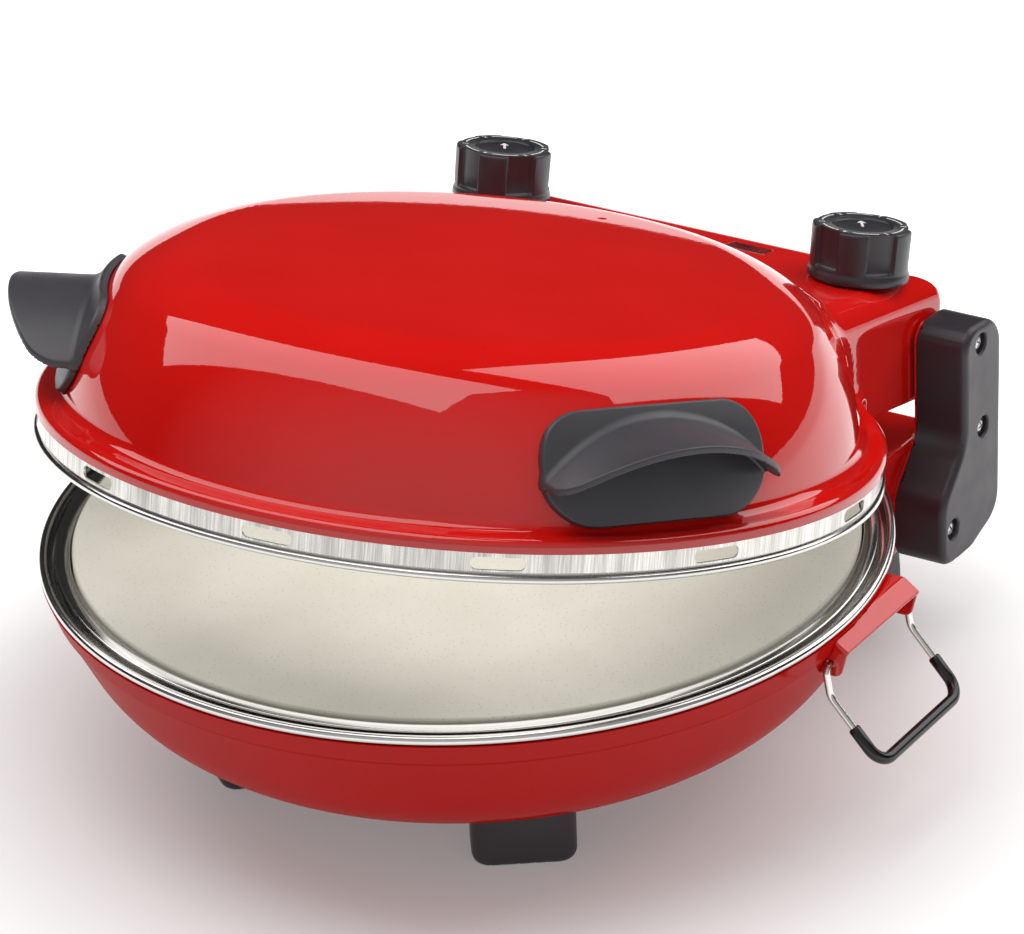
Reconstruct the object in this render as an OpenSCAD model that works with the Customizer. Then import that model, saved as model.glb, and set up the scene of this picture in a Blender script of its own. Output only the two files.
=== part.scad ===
// Electric pizza maker: a round baking stone in a steel bowl, under a domed lid that swings on two rear arms.
// +Z is up, +X is to the right, the front faces -Y. The origin is on the table, in the middle of the outline.

/* [Stone and pan] */
// Radius of the baking stone
stone_r = 160; // [140:1:180]
// Thickness of the baking stone
stone_t = 11; // [8:0.5:14]
// Gap between the stone and the pan
stone_gap = 0.6; // [0.3:0.1:1.5]
// Width of the bright ring around the stone
ring_w = 6.4; // [5:0.1:10]
// Radius of the rolled edge of the pan
roll_r = 2; // [1.5:0.1:2.5]
// Depth of the narrow valley inside the rolled edge
valley_depth = 7; // [4:0.5:7]
// Depth of the pan below the rim
pan_depth = 36; // [32:1:42]
// Width of the ledge that carries the stone
ledge_w = 7; // [5:0.5:10]
// Thickness of the pan's sheet steel
pan_t = 0.9; // [0.7:0.1:1.2]

/* [Bowl] */
// Height of the rim above the table
rim_z = 95; // [90:1:110]
// Height of the bowl from its underside to the rim
bowl_h = 69; // [64:1:74]
// Thickness of the bowl's sheet steel
bowl_t = 1.2; // [0.8:0.1:1.6]
// Height of the upright band under the rim
band_h = 9; // [7:0.5:12]
// How far the band leans in
band_lean = 3.2; // [2:0.2:5]
// Lean of the bowl's flank from upright, in degrees
flank_lean = 26; // [20:1:30]
// Radius of the curve from the flank to the underside
bowl_round = 64; // [50:1:68]

/* [Feet] */
// Length of a foot
foot_l = 42; // [34:1:50]
// Depth of a foot
foot_w = 28; // [22:1:34]
// Radius of a foot's corners
foot_r = 8; // [4:0.5:10]
// Distance of the front feet from the middle of the bowl
front_foot_at = 98; // [90:1:105]
// Angle of the front feet, from the front
front_foot_az = 44; // [35:1:55]
// Angle that the front feet face, from the front
front_foot_turn = 36; // [25:1:50]
// Distance of the rear feet from the middle plane
rear_foot_x = 79; // [60:1:85]
// Distance of the rear feet in front of the rear wall
rear_foot_back = 25; // [20:1:32]
// How far a rear foot flares back
rear_foot_flare = 8; // [0:1:12]

/* [Rear housing of the base] */
// Half of the width of both rear housings
housing_x = 112.5; // [105:0.5:120]
// Distance from the pan's edge to the rear wall
housing_gap = 28.4; // [24:0.2:34]
// Depth of the base housing's roof below the rim
base_roof = 10; // [8:1:14]
// Height of the base housing
base_housing_h = 48; // [42:1:54]
// Corner radius of the base housing
base_housing_r = 12; // [6:1:18]

/* [Hinge] */
// Distance of the hinge axis in front of the rear wall
hinge_back = 22; // [20:1:24]
// Height of the hinge axis above the rim
hinge_h = 31; // [29:1:34]
// Angle at which the lid stands open
lid_open = 11.4; // [0:0.2:80]
// Outer radius of a hinge pin
pin_r = 4.5; // [4:0.5:5]
// Radius of the wire passage in a hinge pin
pin_bore_r = 3.2; // [2:0.2:3.4]
// Running clearance round a hinge pin
pin_gap = 0.08; // [0.04:0.01:0.1]
// Thickness of the hinge brackets
bracket_t = 2; // [1.5:0.5:3]
// Gap between the lid's rear housing and a hinge bracket
side_gap = 1; // [0.6:0.1:2]

/* [Arms] */
// Width of an arm
arm_w = 23.5; // [20:0.5:28]
// Wall thickness of an arm's cover
arm_t = 2.5; // [2:0.5:3.5]
// Radius of the arm screws' heads
arm_screw_r = 3.4; // [2.8:0.1:4]

/* [Lid] */
// Height of the lid's steel band
lid_band_h = 12; // [10:0.5:16]
// Thickness of the band and the liner
liner_t = 0.9; // [0.7:0.1:1.2]
// Radius of the rolled bead under the band
bead_r = 1.6; // [1.2:0.1:2]
// Height of the cooking space in the lid
liner_h = 46; // [40:1:50]
// Thickness of the lid's sheet steel
lid_t = 1.2; // [0.8:0.1:1.6]
// Height of the ledge round the lid
ledge_h = 17.5; // [16.5:0.5:24]
// Width of the ledge round the lid
ledge_out = 10.8; // [8:0.2:14]
// Radius of the ledge's outer edge
ledge_edge_r = 3; // [1.5:0.5:3.5]
// Radius of the hollow between the ledge and the flank
hollow_r = 4; // [2:0.5:8]
// Radius of the lid's top
top_r = 130.2; // [110:0.2:134]
// Radius of the edge round the top
crease_r = 10; // [3:0.5:14]
// Radius of the flank's outward curve
flank_round = 65; // [50:5:120]
// Height of the flat top above the rim
top_h = 75.4; // [72:0.2:82]
// Rise of the top's dome
dome = 5; // [0:0.5:6]
// Outward bulge of the lid's flank
bulge = 8; // [0:0.5:9]
// Number of vent slots around the band
vent_count = 12; // [6:1:18]
// Length of a vent slot
vent_l = 20; // [12:1:26]
// Height of a vent slot
vent_h = 5; // [3:0.5:6]

/* [Rear housing of the lid] */
// Height of the housing's roof above the rim
roof_h = 58.6; // [56:0.2:62]
// Height of the housing's underside above the rim
floor_h = 6.5; // [6:0.5:9]
// Radius of the housing's rear edges
roof_r = 20; // [12:1:22]
// Radius of the edges over the housing's ends
end_r = 14; // [8:1:16]
// Radius of the housing's upright rear corners
corner_r = 8; // [4:1:14]

/* [Knobs] */
// Distance of the knobs from the middle plane
knob_x = 88; // [76:1:90]
// Distance of the knobs in front of the rear wall
knob_back = 39; // [36:1:42]
// Radius of a knob at its foot
knob_r = 21.3; // [16:0.1:22]
// Height of a knob
knob_h = 22.6; // [18:0.2:26]
// Number of grip panels around a knob
knob_panels = 5; // [4:1:7]
// Gap between a knob and the roof
knob_gap = 0.8; // [0.4:0.1:1.5]
// Radius of a thermostat's shaft
shaft_r = 3; // [2.5:0.5:4]

/* [Lid handles] */
// Angle of a lid handle, from the side towards the front
handle_az = 29.5; // [15:0.1:45]
// Width of a lid handle's plate
plate_w = 98.5; // [76:0.5:104]
// Height of a lid handle's plate
plate_h = 44.5; // [40:0.5:50]
// Thickness of a lid handle's plate
plate_t = 3.5; // [2.5:0.5:5]
// Height of the plate's middle above the rim
plate_mid = 41; // [38:0.5:44]
// How far the grip stands out from the plate
grip_out = 33; // [24:1:38]
// Radius of the grip's arch
arch_r = 56; // [50:1:70]
// Thickness of the grip
grip_t = 3; // [2.5:0.5:4]

/* [Wire handles] */
// Radius of the steel wire
wire_r = 1.5; // [1.2:0.1:2]
// Radius of the black sleeve on the wire
sleeve_r = 2.5; // [2.2:0.1:3.5]
// Distance between a wire handle's legs
wire_w = 66; // [54:1:76]
// Distance of the handle's middle behind the middle of the bowl
wire_y = 26; // [0:1:40]
// Radius of the wire's corners
wire_bend = 8; // [5:0.5:12]
// Reach of a wire handle past its pivot
wire_reach = 24.5; // [18:0.5:32]
// Drop of a wire handle below its pivot
wire_drop = 36.5; // [30:0.5:42]

/* [Heating elements] */
// Radius of the heating tube
element_r = 3.2; // [2.8:0.1:3.6]
// Radius of the lower heating loop
lower_loop = 105; // [80:1:120]
// Radius of the upper heating loop
upper_loop = 100; // [80:1:110]

/* [Hidden] */
$fn = 72;
eps = 0.01;
// swell of a wire where a bend meets a straight, which joins them
swell = 0.02;
// radial gap that keeps parts of one body face to face without a shared volume
seat = 0.05;

pan_ring_r = stone_r + stone_gap + ring_w;
roll_at = pan_ring_r + 2 * roll_r + 0.6;
pan_r = roll_at + roll_r;
bowl_r = pan_r - 0.2;
bowl_top = rim_z - 2 * roll_r - 0.1;
band_foot = bowl_top - band_h;
flank_top_z = band_foot - 1.5;
flank_top_r = bowl_r - band_lean - 1.5;
bowl_z = rim_z - bowl_h;
flank_foot_r = flank_top_r - (flank_top_z - bowl_z) * tan(flank_lean);

housing_y = pan_r + housing_gap;
housing_bottom = rim_z - base_roof - base_housing_h;
rear_foot_y = housing_y - rear_foot_back;
hinge_y = housing_y - hinge_back;
knob_y = housing_y - knob_back;
bracket_x = housing_x;
arm_x = bracket_x + bracket_t;
arm_end = arm_x + arm_w;
lid_housing_x = housing_x - side_gap;
hinge_z = rim_z + hinge_h;

lid_r = pan_r - 2.5;
band_r = lid_r - lid_t - seat;
flank_r = lid_r - ledge_out;

// reach of the arms behind the hinge axis
arm_behind = 23.3;
arm_back = hinge_y + arm_behind;
// reach of the cable gland behind the rear wall
gland_out = 3;
bowl_y = (pan_r - housing_y - gland_out - seat) / 2;

// points of an arc of radius r about c, from angle a to angle b
function arc(c, r, a, b, n = 8) = [for (i = [0:n]) c + r * [cos(a + (b - a) * i / n), sin(a + (b - a) * i / n)]];
function unit(v) = v / norm(v);
// the outline pts of [x, y, radius] moved w to its left, its corners kept parallel; an open one has loop = false
function moved(pts, w, loop = true) = let (k = len(pts)) [for (i = [0:k - 1])
    let (p = point(pts[i]),
        u = unit(!loop && i == 0 ? point(pts[1]) - p : p - point(pts[(i + k - 1) % k])),
        v = unit(!loop && i == k - 1 ? u : point(pts[(i + 1) % k]) - p),
        q = p + w * ([-u[1], u[0]] + [-v[1], v[0]]) / (1 + u * v))
    [q[0], q[1], pts[i][2] == 0 ? 0 : max(0.2, pts[i][2] - w * sign(cross(u, v)))]];
// the points of the outline pts of [x, y, radius], with n steps to each rounded corner
function rounded(pts, n = 6, loop = true) = let (k = len(pts)) [for (i = [0:k - 1])
    for (q = pts[i][2] == 0 || (!loop && (i == 0 || i == k - 1)) ? [point(pts[i])]
        : corner(point(pts[(i + k - 1) % k]), point(pts[i]), point(pts[(i + 1) % k]), pts[i][2], n)) q];
function point(v) = [v[0], v[1]];
// the arc of radius r that rounds corner p between points a and b
function corner(a, p, b, r, n) =
    let (u = unit(a - p),
        v = unit(b - p),
        half = acos(u * v) / 2,
        c = p + unit(u + v) * r / sin(half),
        s = p + u * r / tan(half) - c,
        turn = sign(cross(p - a, b - p)) * (180 - 2 * half),
        from = atan2(s[1], s[0]))
    arc(c, r, from, from + turn, n);

module ring(pts) {
    rotate_extrude($fn = 144) polygon(pts);
}
// extrudes a side outline of [y, z] points along X, from x = a to x = b
module across(a, b) {
    translate([a, 0, 0]) rotate([90, 0, 90]) linear_extrude(b - a) children();
}
module mirrored(side) {
    if (side < 0) mirror([1, 0, 0]) children();
    else children();
}
// turns what is drawn on the closed lid about the hinge to where the lid stands
module on_lid() {
    translate([0, hinge_y, hinge_z]) rotate([-lid_open, 0, 0]) translate([0, -hinge_y, -hinge_h]) children();
}
module screw(head_r, head_h, r, l) {
    translate([0, 0, -head_h]) difference() {
        cylinder(h = head_h, r = head_r);
        translate([0, 0, head_h - 1]) for (a = [0, 90])
            rotate(a) translate([-head_r * 0.6, -0.4, 0]) cube([head_r * 1.2, 0.8, 2]);
    }
    translate([0, 0, -head_h - l]) cylinder(h = l, r = r);
}

// ---- wire and tube paths ----
module rod(a, b, r) {
    v = b - a;
    translate(a) rotate([0, acos(v[2] / norm(v)), atan2(v[1], v[0])]) cylinder(h = norm(v), r = r, $fn = 24);
}
// the bent stretch of a wire of radius r at corner p, between directions u and v
module elbow(p, u, v, bend, r) {
    turn = acos(u * v);
    side = unit(v - (u * v) * u);
    start = p - u * bend * tan(turn / 2);
    c = start + side * bend;
    w = cross(-side, u);
    multmatrix([[-side[0], u[0], w[0], c[0]], [-side[1], u[1], w[1], c[1]], [-side[2], u[2], w[2], c[2]]])
        rotate_extrude(angle = turn, $fn = 48) translate([bend, 0]) circle(r, $fn = 24);
}
// a wire through the given points, with the bend radius of each of them
module wire(pts, bends, r) {
    last = len(pts) - 1;
    dir = [for (i = [0:last - 1]) unit(pts[i + 1] - pts[i])];
    trim = [for (i = [0:last]) i == 0 || i == last ? 0 : bends[i] * tan(acos(dir[i - 1] * dir[i]) / 2)];
    for (i = [0:last - 1]) {
        a = pts[i] + dir[i] * trim[i];
        b = pts[i + 1] - dir[i] * trim[i + 1];
        rod(a, b, r);
        if (i > 0) translate(a) sphere(r + swell, $fn = 24);
        if (i < last - 1) translate(b) sphere(r + swell, $fn = 24);
    }
    for (i = [1:last - 1]) elbow(pts[i], dir[i - 1], dir[i], bends[i], r);
}

// ---- base ----
// the bowl's outline from its band down to the middle of its underside, set in by w
function bowl_side(w, top = bowl_top) = rounded(moved([[bowl_r, top, 0], [bowl_r - band_lean, band_foot, 1.5],
    [flank_top_r, flank_top_z, 1.5], [flank_foot_r, bowl_z, bowl_round], [0, bowl_z, 0]], -w, false), 10, false);
module bowl_solid(w = 0, top = bowl_top) {
    ring(concat([[0, top]], bowl_side(w, top)));
}
module base_bowl() {
    color("crimson") difference() {
        bowl_solid();
        bowl_solid(bowl_t, bowl_top + 1);
        front_foot_places() cylinder(h = 60, r = 2.2, $fn = 24);
        wire_port();
    }
}
wire_port_r = 9;
// the opening in the bowl's rear wall that leads into the base housing
module wire_port() {
    translate([0, flank_foot_r, gland_z]) rotate([-90, 0, 0]) cylinder(h = 40, r = wire_port_r);
}

pan_floor = rim_z - pan_depth;
ledge_z = rim_z + 0.7 - stone_t;
ledge_r = stone_r + stone_gap - ledge_w;
module reflector_pan() {
    inner = stone_r + stone_gap;
    wall = roll_at - roll_r * 0.7;
    valley = rim_z - valley_depth;
    color("silver") {
        rotate_extrude($fn = 144) translate([roll_at, rim_z - roll_r]) circle(roll_r, $fn = 32);
        ring([[inner, rim_z - 0.4], [inner + ring_w * 0.5, rim_z], [pan_ring_r, rim_z - 0.5],
            [pan_ring_r + 0.3, valley], [wall - 0.3, valley], [wall, rim_z - roll_r], [wall + 0.4, rim_z - roll_r * 2],
            [wall + 0.3, valley - pan_t], [pan_ring_r + 0.3 - pan_t, valley - pan_t],
            [pan_ring_r - pan_t, rim_z - 0.4 - pan_t * 2], [inner + pan_t, rim_z - 0.4 - pan_t * 2], [inner + pan_t, ledge_z - pan_t],
            [ledge_r + pan_t, ledge_z - pan_t], [ledge_r - 8, pan_floor - pan_t], [0, pan_floor - pan_t],
            [0, pan_floor], [ledge_r - 8 - pan_t, pan_floor], [ledge_r, ledge_z], [inner, ledge_z]]);
    }
}
module baking_stone() {
    chamfer = 0.8;
    top = ledge_z + stone_t;
    color("wheat") ring([[0, ledge_z], [stone_r - chamfer, ledge_z], [stone_r, ledge_z + chamfer],
        [stone_r, top - chamfer], [stone_r - chamfer, top], [0, top]]);
}
// a tubular heater: an open loop of radius loop with two legs that run back to y = end
module heater(loop, z, end) {
    gap = heater_gap;
    open = asin(gap / loop);
    translate([0, 0, z]) {
        rotate(90 + open) rotate_extrude(angle = 360 - 2 * open, $fn = 96)
            translate([loop, 0]) circle(element_r, $fn = 24);
        for (s = [-1, 1]) {
            translate([s * gap, loop * cos(open), 0]) sphere(element_r + swell, $fn = 24);
            rod([s * gap, loop * cos(open), 0], [s * gap, end, 0], element_r);
        }
    }
}
module heater_clips(loop, z, to) {
    for (a = [30, 150, 270]) rotate(a) translate([loop, 0, z]) difference() {
        union() {
            translate([0, -4, 0]) rotate([-90, 0, 0]) cylinder(h = 8, r = element_r + 1.2, $fn = 24);
            translate([-4, -4, min(0, to - z)]) cube([8, 8, abs(to - z)]);
        }
        translate([0, -10, 0]) rotate([-90, 0, 0]) cylinder(h = 20, r = element_r + clip_gap, $fn = 24);
    }
}
// play of the heating tube in its clips
clip_gap = 0.3;
lower_z = pan_floor + element_r + 6;
module lower_element() {
    color("dimgray") heater(lower_loop, lower_z, ledge_r - 14);
}
module lower_element_clips() {
    color("silver") heater_clips(lower_loop, lower_z, pan_floor + seat);
}

module foot_outline(grow = 0) {
    l = foot_l / 2 + grow;
    w = foot_w / 2 + grow;
    r = foot_r + grow;
    polygon(rounded([[-l, -w, r], [l, -w, r], [l, w, r], [-l, w, r]]));
}
// height of the narrower pad under a foot
foot_pad = 3;
module foot(h) {
    linear_extrude(foot_pad) foot_outline(-1.5);
    translate([0, 0, foot_pad - eps]) linear_extrude(h - foot_pad + eps) foot_outline();
}
module front_foot_places() {
    for (s = [-1, 1]) mirrored(s) front_foot_place() children();
}
module front_foot_place() {
    rotate(-90 + front_foot_az) translate([front_foot_at, 0, 0])
        rotate(90 - front_foot_az + front_foot_turn) children();
}
module front_foot(side) {
    color("#3a373b") mirrored(side) difference() {
        front_foot_place() foot(bowl_z + bowl_round);
        translate([0, 0, -seat]) bowl_solid();
        translate([0, 0, rim_z - bowl_h / 2]) cylinder(h = rim_z, r = bowl_r * 2);
        front_foot_place() foot_screw_hole();
    }
}
module foot_screw_hole() {
    translate([0, 0, -eps]) cylinder(h = 9, r = 5, $fn = 32);
    cylinder(h = 80, r = 2.2, $fn = 24);
}
module rear_foot(side) {
    h = housing_bottom - seat;
    low = rear_foot_y + foot_w / 2;
    color("#3a373b") mirrored(side) difference() {
        intersection() {
            translate([rear_foot_x, rear_foot_y, 0]) foot(h);
            across(0, 200) polygon([[0, 0], [low, 0], [low - rear_foot_flare, h], [0, h]]);
        }
        translate([rear_foot_x, rear_foot_y - rear_foot_flare / 2, 0]) foot_screw_hole();
    }
}
module foot_screws() {
    color("silver") {
        for (s = [-1, 1]) mirrored(s) {
            front_foot_place() foot_screw(bowl_z + 8);
            translate([rear_foot_x, rear_foot_y - rear_foot_flare / 2, 0]) foot_screw(housing_bottom + 6);
        }
    }
}
module foot_screw(top) {
    translate([0, 0, 9 - 3.4]) rotate([180, 0, 0]) screw(4, 3, 2, top - 9);
}

// the base housing: a steel box behind the bowl, open towards it
module base_housing_solid(w = 0) {
    r = base_housing_r;
    across(-housing_x + w, housing_x - w) polygon(rounded(moved([[40, housing_bottom, 0],
        [housing_y, housing_bottom, r], [housing_y, rim_z - base_roof, r], [40, rim_z - base_roof, 0]], w)));
}
module base_housing() {
    color("crimson") difference() {
        base_housing_solid();
        base_housing_solid(bowl_t);
        bowl_solid(-seat);
        cylinder(h = rim_z + 1, r = 60);
        translate([0, 0, bowl_z - 50]) cylinder(h = 50, r = 90);
        for (s = [-1, 1]) {
            translate([s * rear_foot_x, rear_foot_y - rear_foot_flare / 2, 0])
                cylinder(h = housing_bottom + 10, r = 2.2);
            translate([s * housing_x, arm_port[0], rim_z + arm_port[1]]) rotate([0, 90, 0])
                cylinder(h = 10, r = arm_port_r, center = true);
        }
        translate([gland_x, housing_y - 10, gland_z]) rotate([-90, 0, 0]) cylinder(h = 20, r = gland_r);
    }
}
// where the wires pass from an arm into the base housing: [y, height above the rim], and radius
arm_port = [hinge_y - 2, -36];
arm_port_r = 6;
gland_x = 0;
gland_z = rim_z - base_roof - base_housing_h / 2;
gland_r = 7;
cable_r = 3.6;
module cable_gland() {
    color("#222024") translate([gland_x, housing_y, gland_z]) rotate([-90, 0, 0]) difference() {
        union() {
            translate([0, 0, -8]) cylinder(h = 9, r = gland_r - seat);
            translate([0, 0, seat]) cylinder(h = gland_out, r = gland_r + 3);
            translate([0, 0, -bowl_t - 2.6]) cylinder(h = 2.4, r = gland_r + 1.5);
        }
        translate([0, 0, -20]) cylinder(h = 40, r = cable_r);
    }
}
module terminal_block() {
    color("ivory") translate([24, housing_y - base_housing_r - 16.2, housing_bottom + bowl_t + seat]) difference() {
        cube([44, 16, 15]);
        for (i = [0:2]) translate([8 + i * 14, 8, 5]) {
            cylinder(h = 20, r = 3, $fn = 24);
            translate([0, 20, 3]) rotate([90, 0, 0]) cylinder(h = 40, r = 1.8, $fn = 24);
        }
    }
}

// ---- hinge and arms ----
// height of an arm's top above the rim, depth of its foot below it, and the widths of its neck and its foot
arm_top = 46;
arm_foot = 59.5;
arm_neck = 33;
arm_toe = 51.5;
// the outline of an arm, [y, z], set in by w: broad top, swept-forward foot
function arm_outline(w = 0) = rounded(moved([
    [arm_back - arm_toe + 0.7, rim_z - arm_foot + 4.5, 8], [arm_back - arm_neck + 1.7, rim_z - arm_foot, 6],
    [arm_back, rim_z - arm_foot + 10.5, 14], [arm_back, rim_z + arm_top - 3.5, 14],
    [arm_back - arm_neck, rim_z + arm_top, 10], [arm_back - arm_neck + 1, rim_z - 6, 20],
    [arm_back - arm_toe, rim_z - 27, 16]], w), 8);
// how far a bracket stays inside the arm's outline
bracket_inset = 2.5;
arm_screw_hole = 1.6;
// depth of a screw's head below the cover's face, and its height
arm_screw_sunk = 0.6;
arm_screw_head = 2.55;
arm_screw_places = [[hinge_y + 4.6, hinge_z + 5], [hinge_y + 7, hinge_z - 34.5], [hinge_y - 19, hinge_z - 71.5]];
module hinge_bracket(side) {
    color("crimson") mirrored(side) difference() {
        across(bracket_x + seat, arm_x) polygon(arm_outline(bracket_inset));
        translate([0, hinge_y, hinge_z]) rotate([0, 90, 0]) cylinder(h = 200, r = pin_r);
        translate([0, arm_port[0], rim_z + arm_port[1]]) rotate([0, 90, 0]) cylinder(h = 200, r = arm_port_r);
        for (p = arm_screw_places) translate([0, p[0], p[1]]) rotate([0, 90, 0]) cylinder(h = 200, r = arm_screw_hole);
    }
}
// hollow pin, staked flush into the hinge bracket, on which the lid's rear housing turns
module hinge_pin(side) {
    inside = lid_housing_x - lid_t - 2 - 0.4;
    color("silver") mirrored(side) translate([0, hinge_y, hinge_z]) rotate([0, 90, 0]) difference() {
        union() {
            translate([0, 0, inside - 2]) cylinder(h = 2, r = pin_r + 3);
            translate([0, 0, inside - eps]) cylinder(h = arm_x + eps - inside, r = pin_r - eps);
        }
        cylinder(h = 300, r = pin_bore_r);
    }
}
arm_boss_r = 5;
module arm_cover(side) {
    color("#2e2b30") mirrored(side) difference() {
        union() {
            difference() {
                union() {
                    across(arm_x + seat, arm_end - 1.2) polygon(arm_outline(0));
                    across(arm_end - 1.2 - eps, arm_end) polygon(arm_outline(1.2));
                }
                across(arm_x, arm_end - arm_t) polygon(arm_outline(arm_t));
            }
            for (p = arm_screw_places) translate([arm_x + seat, p[0], p[1]])
                rotate([0, 90, 0]) cylinder(h = arm_w - arm_t, r = arm_boss_r);
        }
        for (p = arm_screw_places) {
            translate([arm_end - arm_screw_sunk - arm_screw_head - seat, p[0], p[1]])
                rotate([0, 90, 0]) cylinder(h = 20, r = arm_screw_r + 1);
            translate([0, p[0], p[1]]) rotate([0, 90, 0]) cylinder(h = 200, r = arm_screw_hole);
        }
        translate([arm_x - 1, hinge_y, hinge_z]) rotate([0, 90, 0])
            cylinder(h = arm_w / 2 + wiring_r + 2.4, r = pin_r + 0.5);
    }
}
module arm_screws() {
    l = arm_w + bracket_t - arm_screw_sunk - arm_screw_head - 0.3;
    color("silver") for (s = [-1, 1]) mirrored(s) for (p = arm_screw_places)
        translate([arm_end - arm_screw_sunk, p[0], p[1]]) rotate([0, 90, 0])
            screw(arm_screw_r, arm_screw_head, arm_screw_hole - seat, l);
}
// the wires from the lid to the base, inside the right arm
wiring_r = 2.4;
module arm_wiring() {
    x = arm_x + arm_w / 2;
    pts = [[arm_x - 6, hinge_y, hinge_z], [x, hinge_y, hinge_z], [x, arm_port[0], rim_z + arm_port[1]],
        [housing_x - 30, arm_port[0], rim_z + arm_port[1]]];
    color("ivory") for (i = [0:2]) {
        rod(pts[i], pts[i + 1], wiring_r);
        if (i > 0) translate(pts[i]) sphere(wiring_r + 5 * swell, $fn = 24);
    }
}

// ---- wire handles ----
pivot_x = pan_r - 3.4;
pivot_z = rim_z - 17;
ear_t = 1.5;
// top of a bracket's flap, its reach past the pivot and its fall to its edge
flap_z = rim_z - 5.2;
flap_out = 8;
flap_drop = 4.5;
// how far a leg of the wire stands from the ear of its bracket
leg_gap = 2;
module handle_bracket(side) {
    half = wire_w / 2 - wire_r - leg_gap;
    color("crimson") mirrored(side) difference() {
        union() {
            translate([0, wire_y, 0]) rotate([90, 0, 0]) translate([0, 0, -half]) linear_extrude(2 * half)
                polygon([[pivot_x - 20, flap_z - 1.4], [pivot_x + 1, flap_z], [pivot_x + flap_out, flap_z - flap_drop],
                    [pivot_x + flap_out - 0.6, flap_z - flap_drop - ear_t], [pivot_x + 0.6, flap_z - ear_t],
                    [pivot_x - 20, flap_z - 1.4 - ear_t]]);
            for (s = [-1, 1]) translate([0, wire_y + s * (half - ear_t / 2), 0]) rotate([90, 0, 0])
                translate([0, 0, -ear_t / 2]) linear_extrude(ear_t)
                    polygon(rounded([[pivot_x - 20, flap_z - 2.4, 0], [pivot_x + 1, flap_z - 1, 0],
                        [pivot_x + flap_out - 0.6, flap_z - flap_drop - 1, 0],
                        [pivot_x + 4.5, pivot_z - 5, 4], [pivot_x - 8, pivot_z - 5, 4]]));
        }
        bowl_solid(-seat);
        translate([0, 0, bowl_top - eps]) cylinder(h = 60, r = bowl_r + 0.6);
        translate([pivot_x, 0, pivot_z]) rotate([90, 0, 0])
            cylinder(h = 300, r = wire_r + 0.08, center = true, $fn = 24);
    }
}
// one leg of a wire handle, from its end in the bracket to the outer run; s is -1 at the front and 1 at the back
function leg_path(s) = [[pivot_x, wire_y + s * (wire_w / 2 - wire_r - leg_gap - ear_t - 2), pivot_z],
    [pivot_x, wire_y + s * wire_w / 2, pivot_z],
    [pivot_x + wire_knee[0], wire_y + s * wire_w / 2, pivot_z - wire_knee[1]],
    [pivot_x + wire_reach, wire_y + s * wire_w / 2, pivot_z - wire_drop]];
// where a leg turns outwards: [out, down] from the pivot
wire_knee = [2, 12];
// length of the sleeve along each leg
sleeve_l = 10;
module wire_handle(side) {
    a = leg_path(-1);
    b = leg_path(1);
    color("silver") mirrored(side)
        wire([a[0], a[1], a[2], a[3], b[3], b[2], b[1], b[0]],
            [0, 3, wire_bend, wire_bend, wire_bend, wire_bend, 3, 0], wire_r);
}
// the stretch of the outer run that the sleeve covers
module wire_sleeve(r) {
    a = leg_path(-1);
    b = leg_path(1);
    from = a[3] + unit(a[2] - a[3]) * (wire_bend + sleeve_l);
    to = b[3] + unit(b[2] - b[3]) * (wire_bend + sleeve_l);
    wire([from, a[3], b[3], to], [0, wire_bend, wire_bend, 0], r);
}
module wire_grip(side) {
    color("#1b191d") mirrored(side) difference() {
        wire_sleeve(sleeve_r);
        wire_sleeve(wire_r + seat);
        for (s = [-1, 1]) {
            a = leg_path(s);
            rod(a[3] + unit(a[2] - a[3]) * wire_bend, a[2], wire_r + seat);
        }
    }
}

// ---- lid, drawn closed with its heights counted from the rim ----
// the lid's outline from height low up to the middle of the top, set in by w
function lid_side(w, low = lid_band_h) = rounded(moved([[lid_r, low, 0], [lid_r, ledge_h, ledge_edge_r],
    [flank_r, ledge_h, hollow_r], flank_middle(), [top_r, top_h, crease_r],
    crown(0.75), crown(0.5), crown(0.25), [0, crown(0.25)[1], 0]], w, false), 8, false);
// a point of the top's dome, at the fraction t of its radius
function crown(t) = [top_r * t, top_h + dome * (1 - pow(t, 3)), 0];
// the lid's radius at height h of its flank, and the flank's lean there from upright
function flank_at(h) = lookup(h, [for (p = lid_side(0)) if (p[1] > ledge_h + 1 && p[0] > top_r / 2) [p[1], p[0]]]);
function lean_at(h) = atan2(flank_at(h - 8) - flank_at(h + 8), 16);
function flank_middle() =
    let (a = [flank_r, ledge_h], b = [top_r, top_h], n = unit([b[1] - a[1], a[0] - b[0]]), m = (a + b) / 2 + n * bulge)
    [m[0], m[1], flank_round];
module lid_body(w = 0, low = lid_band_h) {
    ring(concat([[0, low]], lid_side(w, low)));
}
// the rear housing of the lid: side, plan and rear outlines meet as one rounded block, set in by w
module lid_housing_solid(w = 0) {
    x = lid_housing_x;
    front = top_r / 2;
    intersection() {
        across(-200, 200) polygon(rounded(moved([[front, floor_h, 0], [housing_y, floor_h, roof_r],
            [housing_y, roof_h, roof_r], [front, roof_h, 0]], w), 8));
        translate([0, 0, -100]) linear_extrude(300) polygon(rounded(moved([[-x, front, 0], [x, front, 0],
            [x, housing_y, corner_r], [-x, housing_y, corner_r]], w), 8));
        rotate([90, 0, 0]) translate([0, 0, -300]) linear_extrude(400) polygon(rounded(moved([[-x, floor_h, 1.5],
            [x, floor_h, 1.5], [x, roof_h, end_r], [-x, roof_h, end_r]], w), 8));
    }
}
// gap between the housing and the lid's steel band
rim_gap = 0.3;
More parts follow.
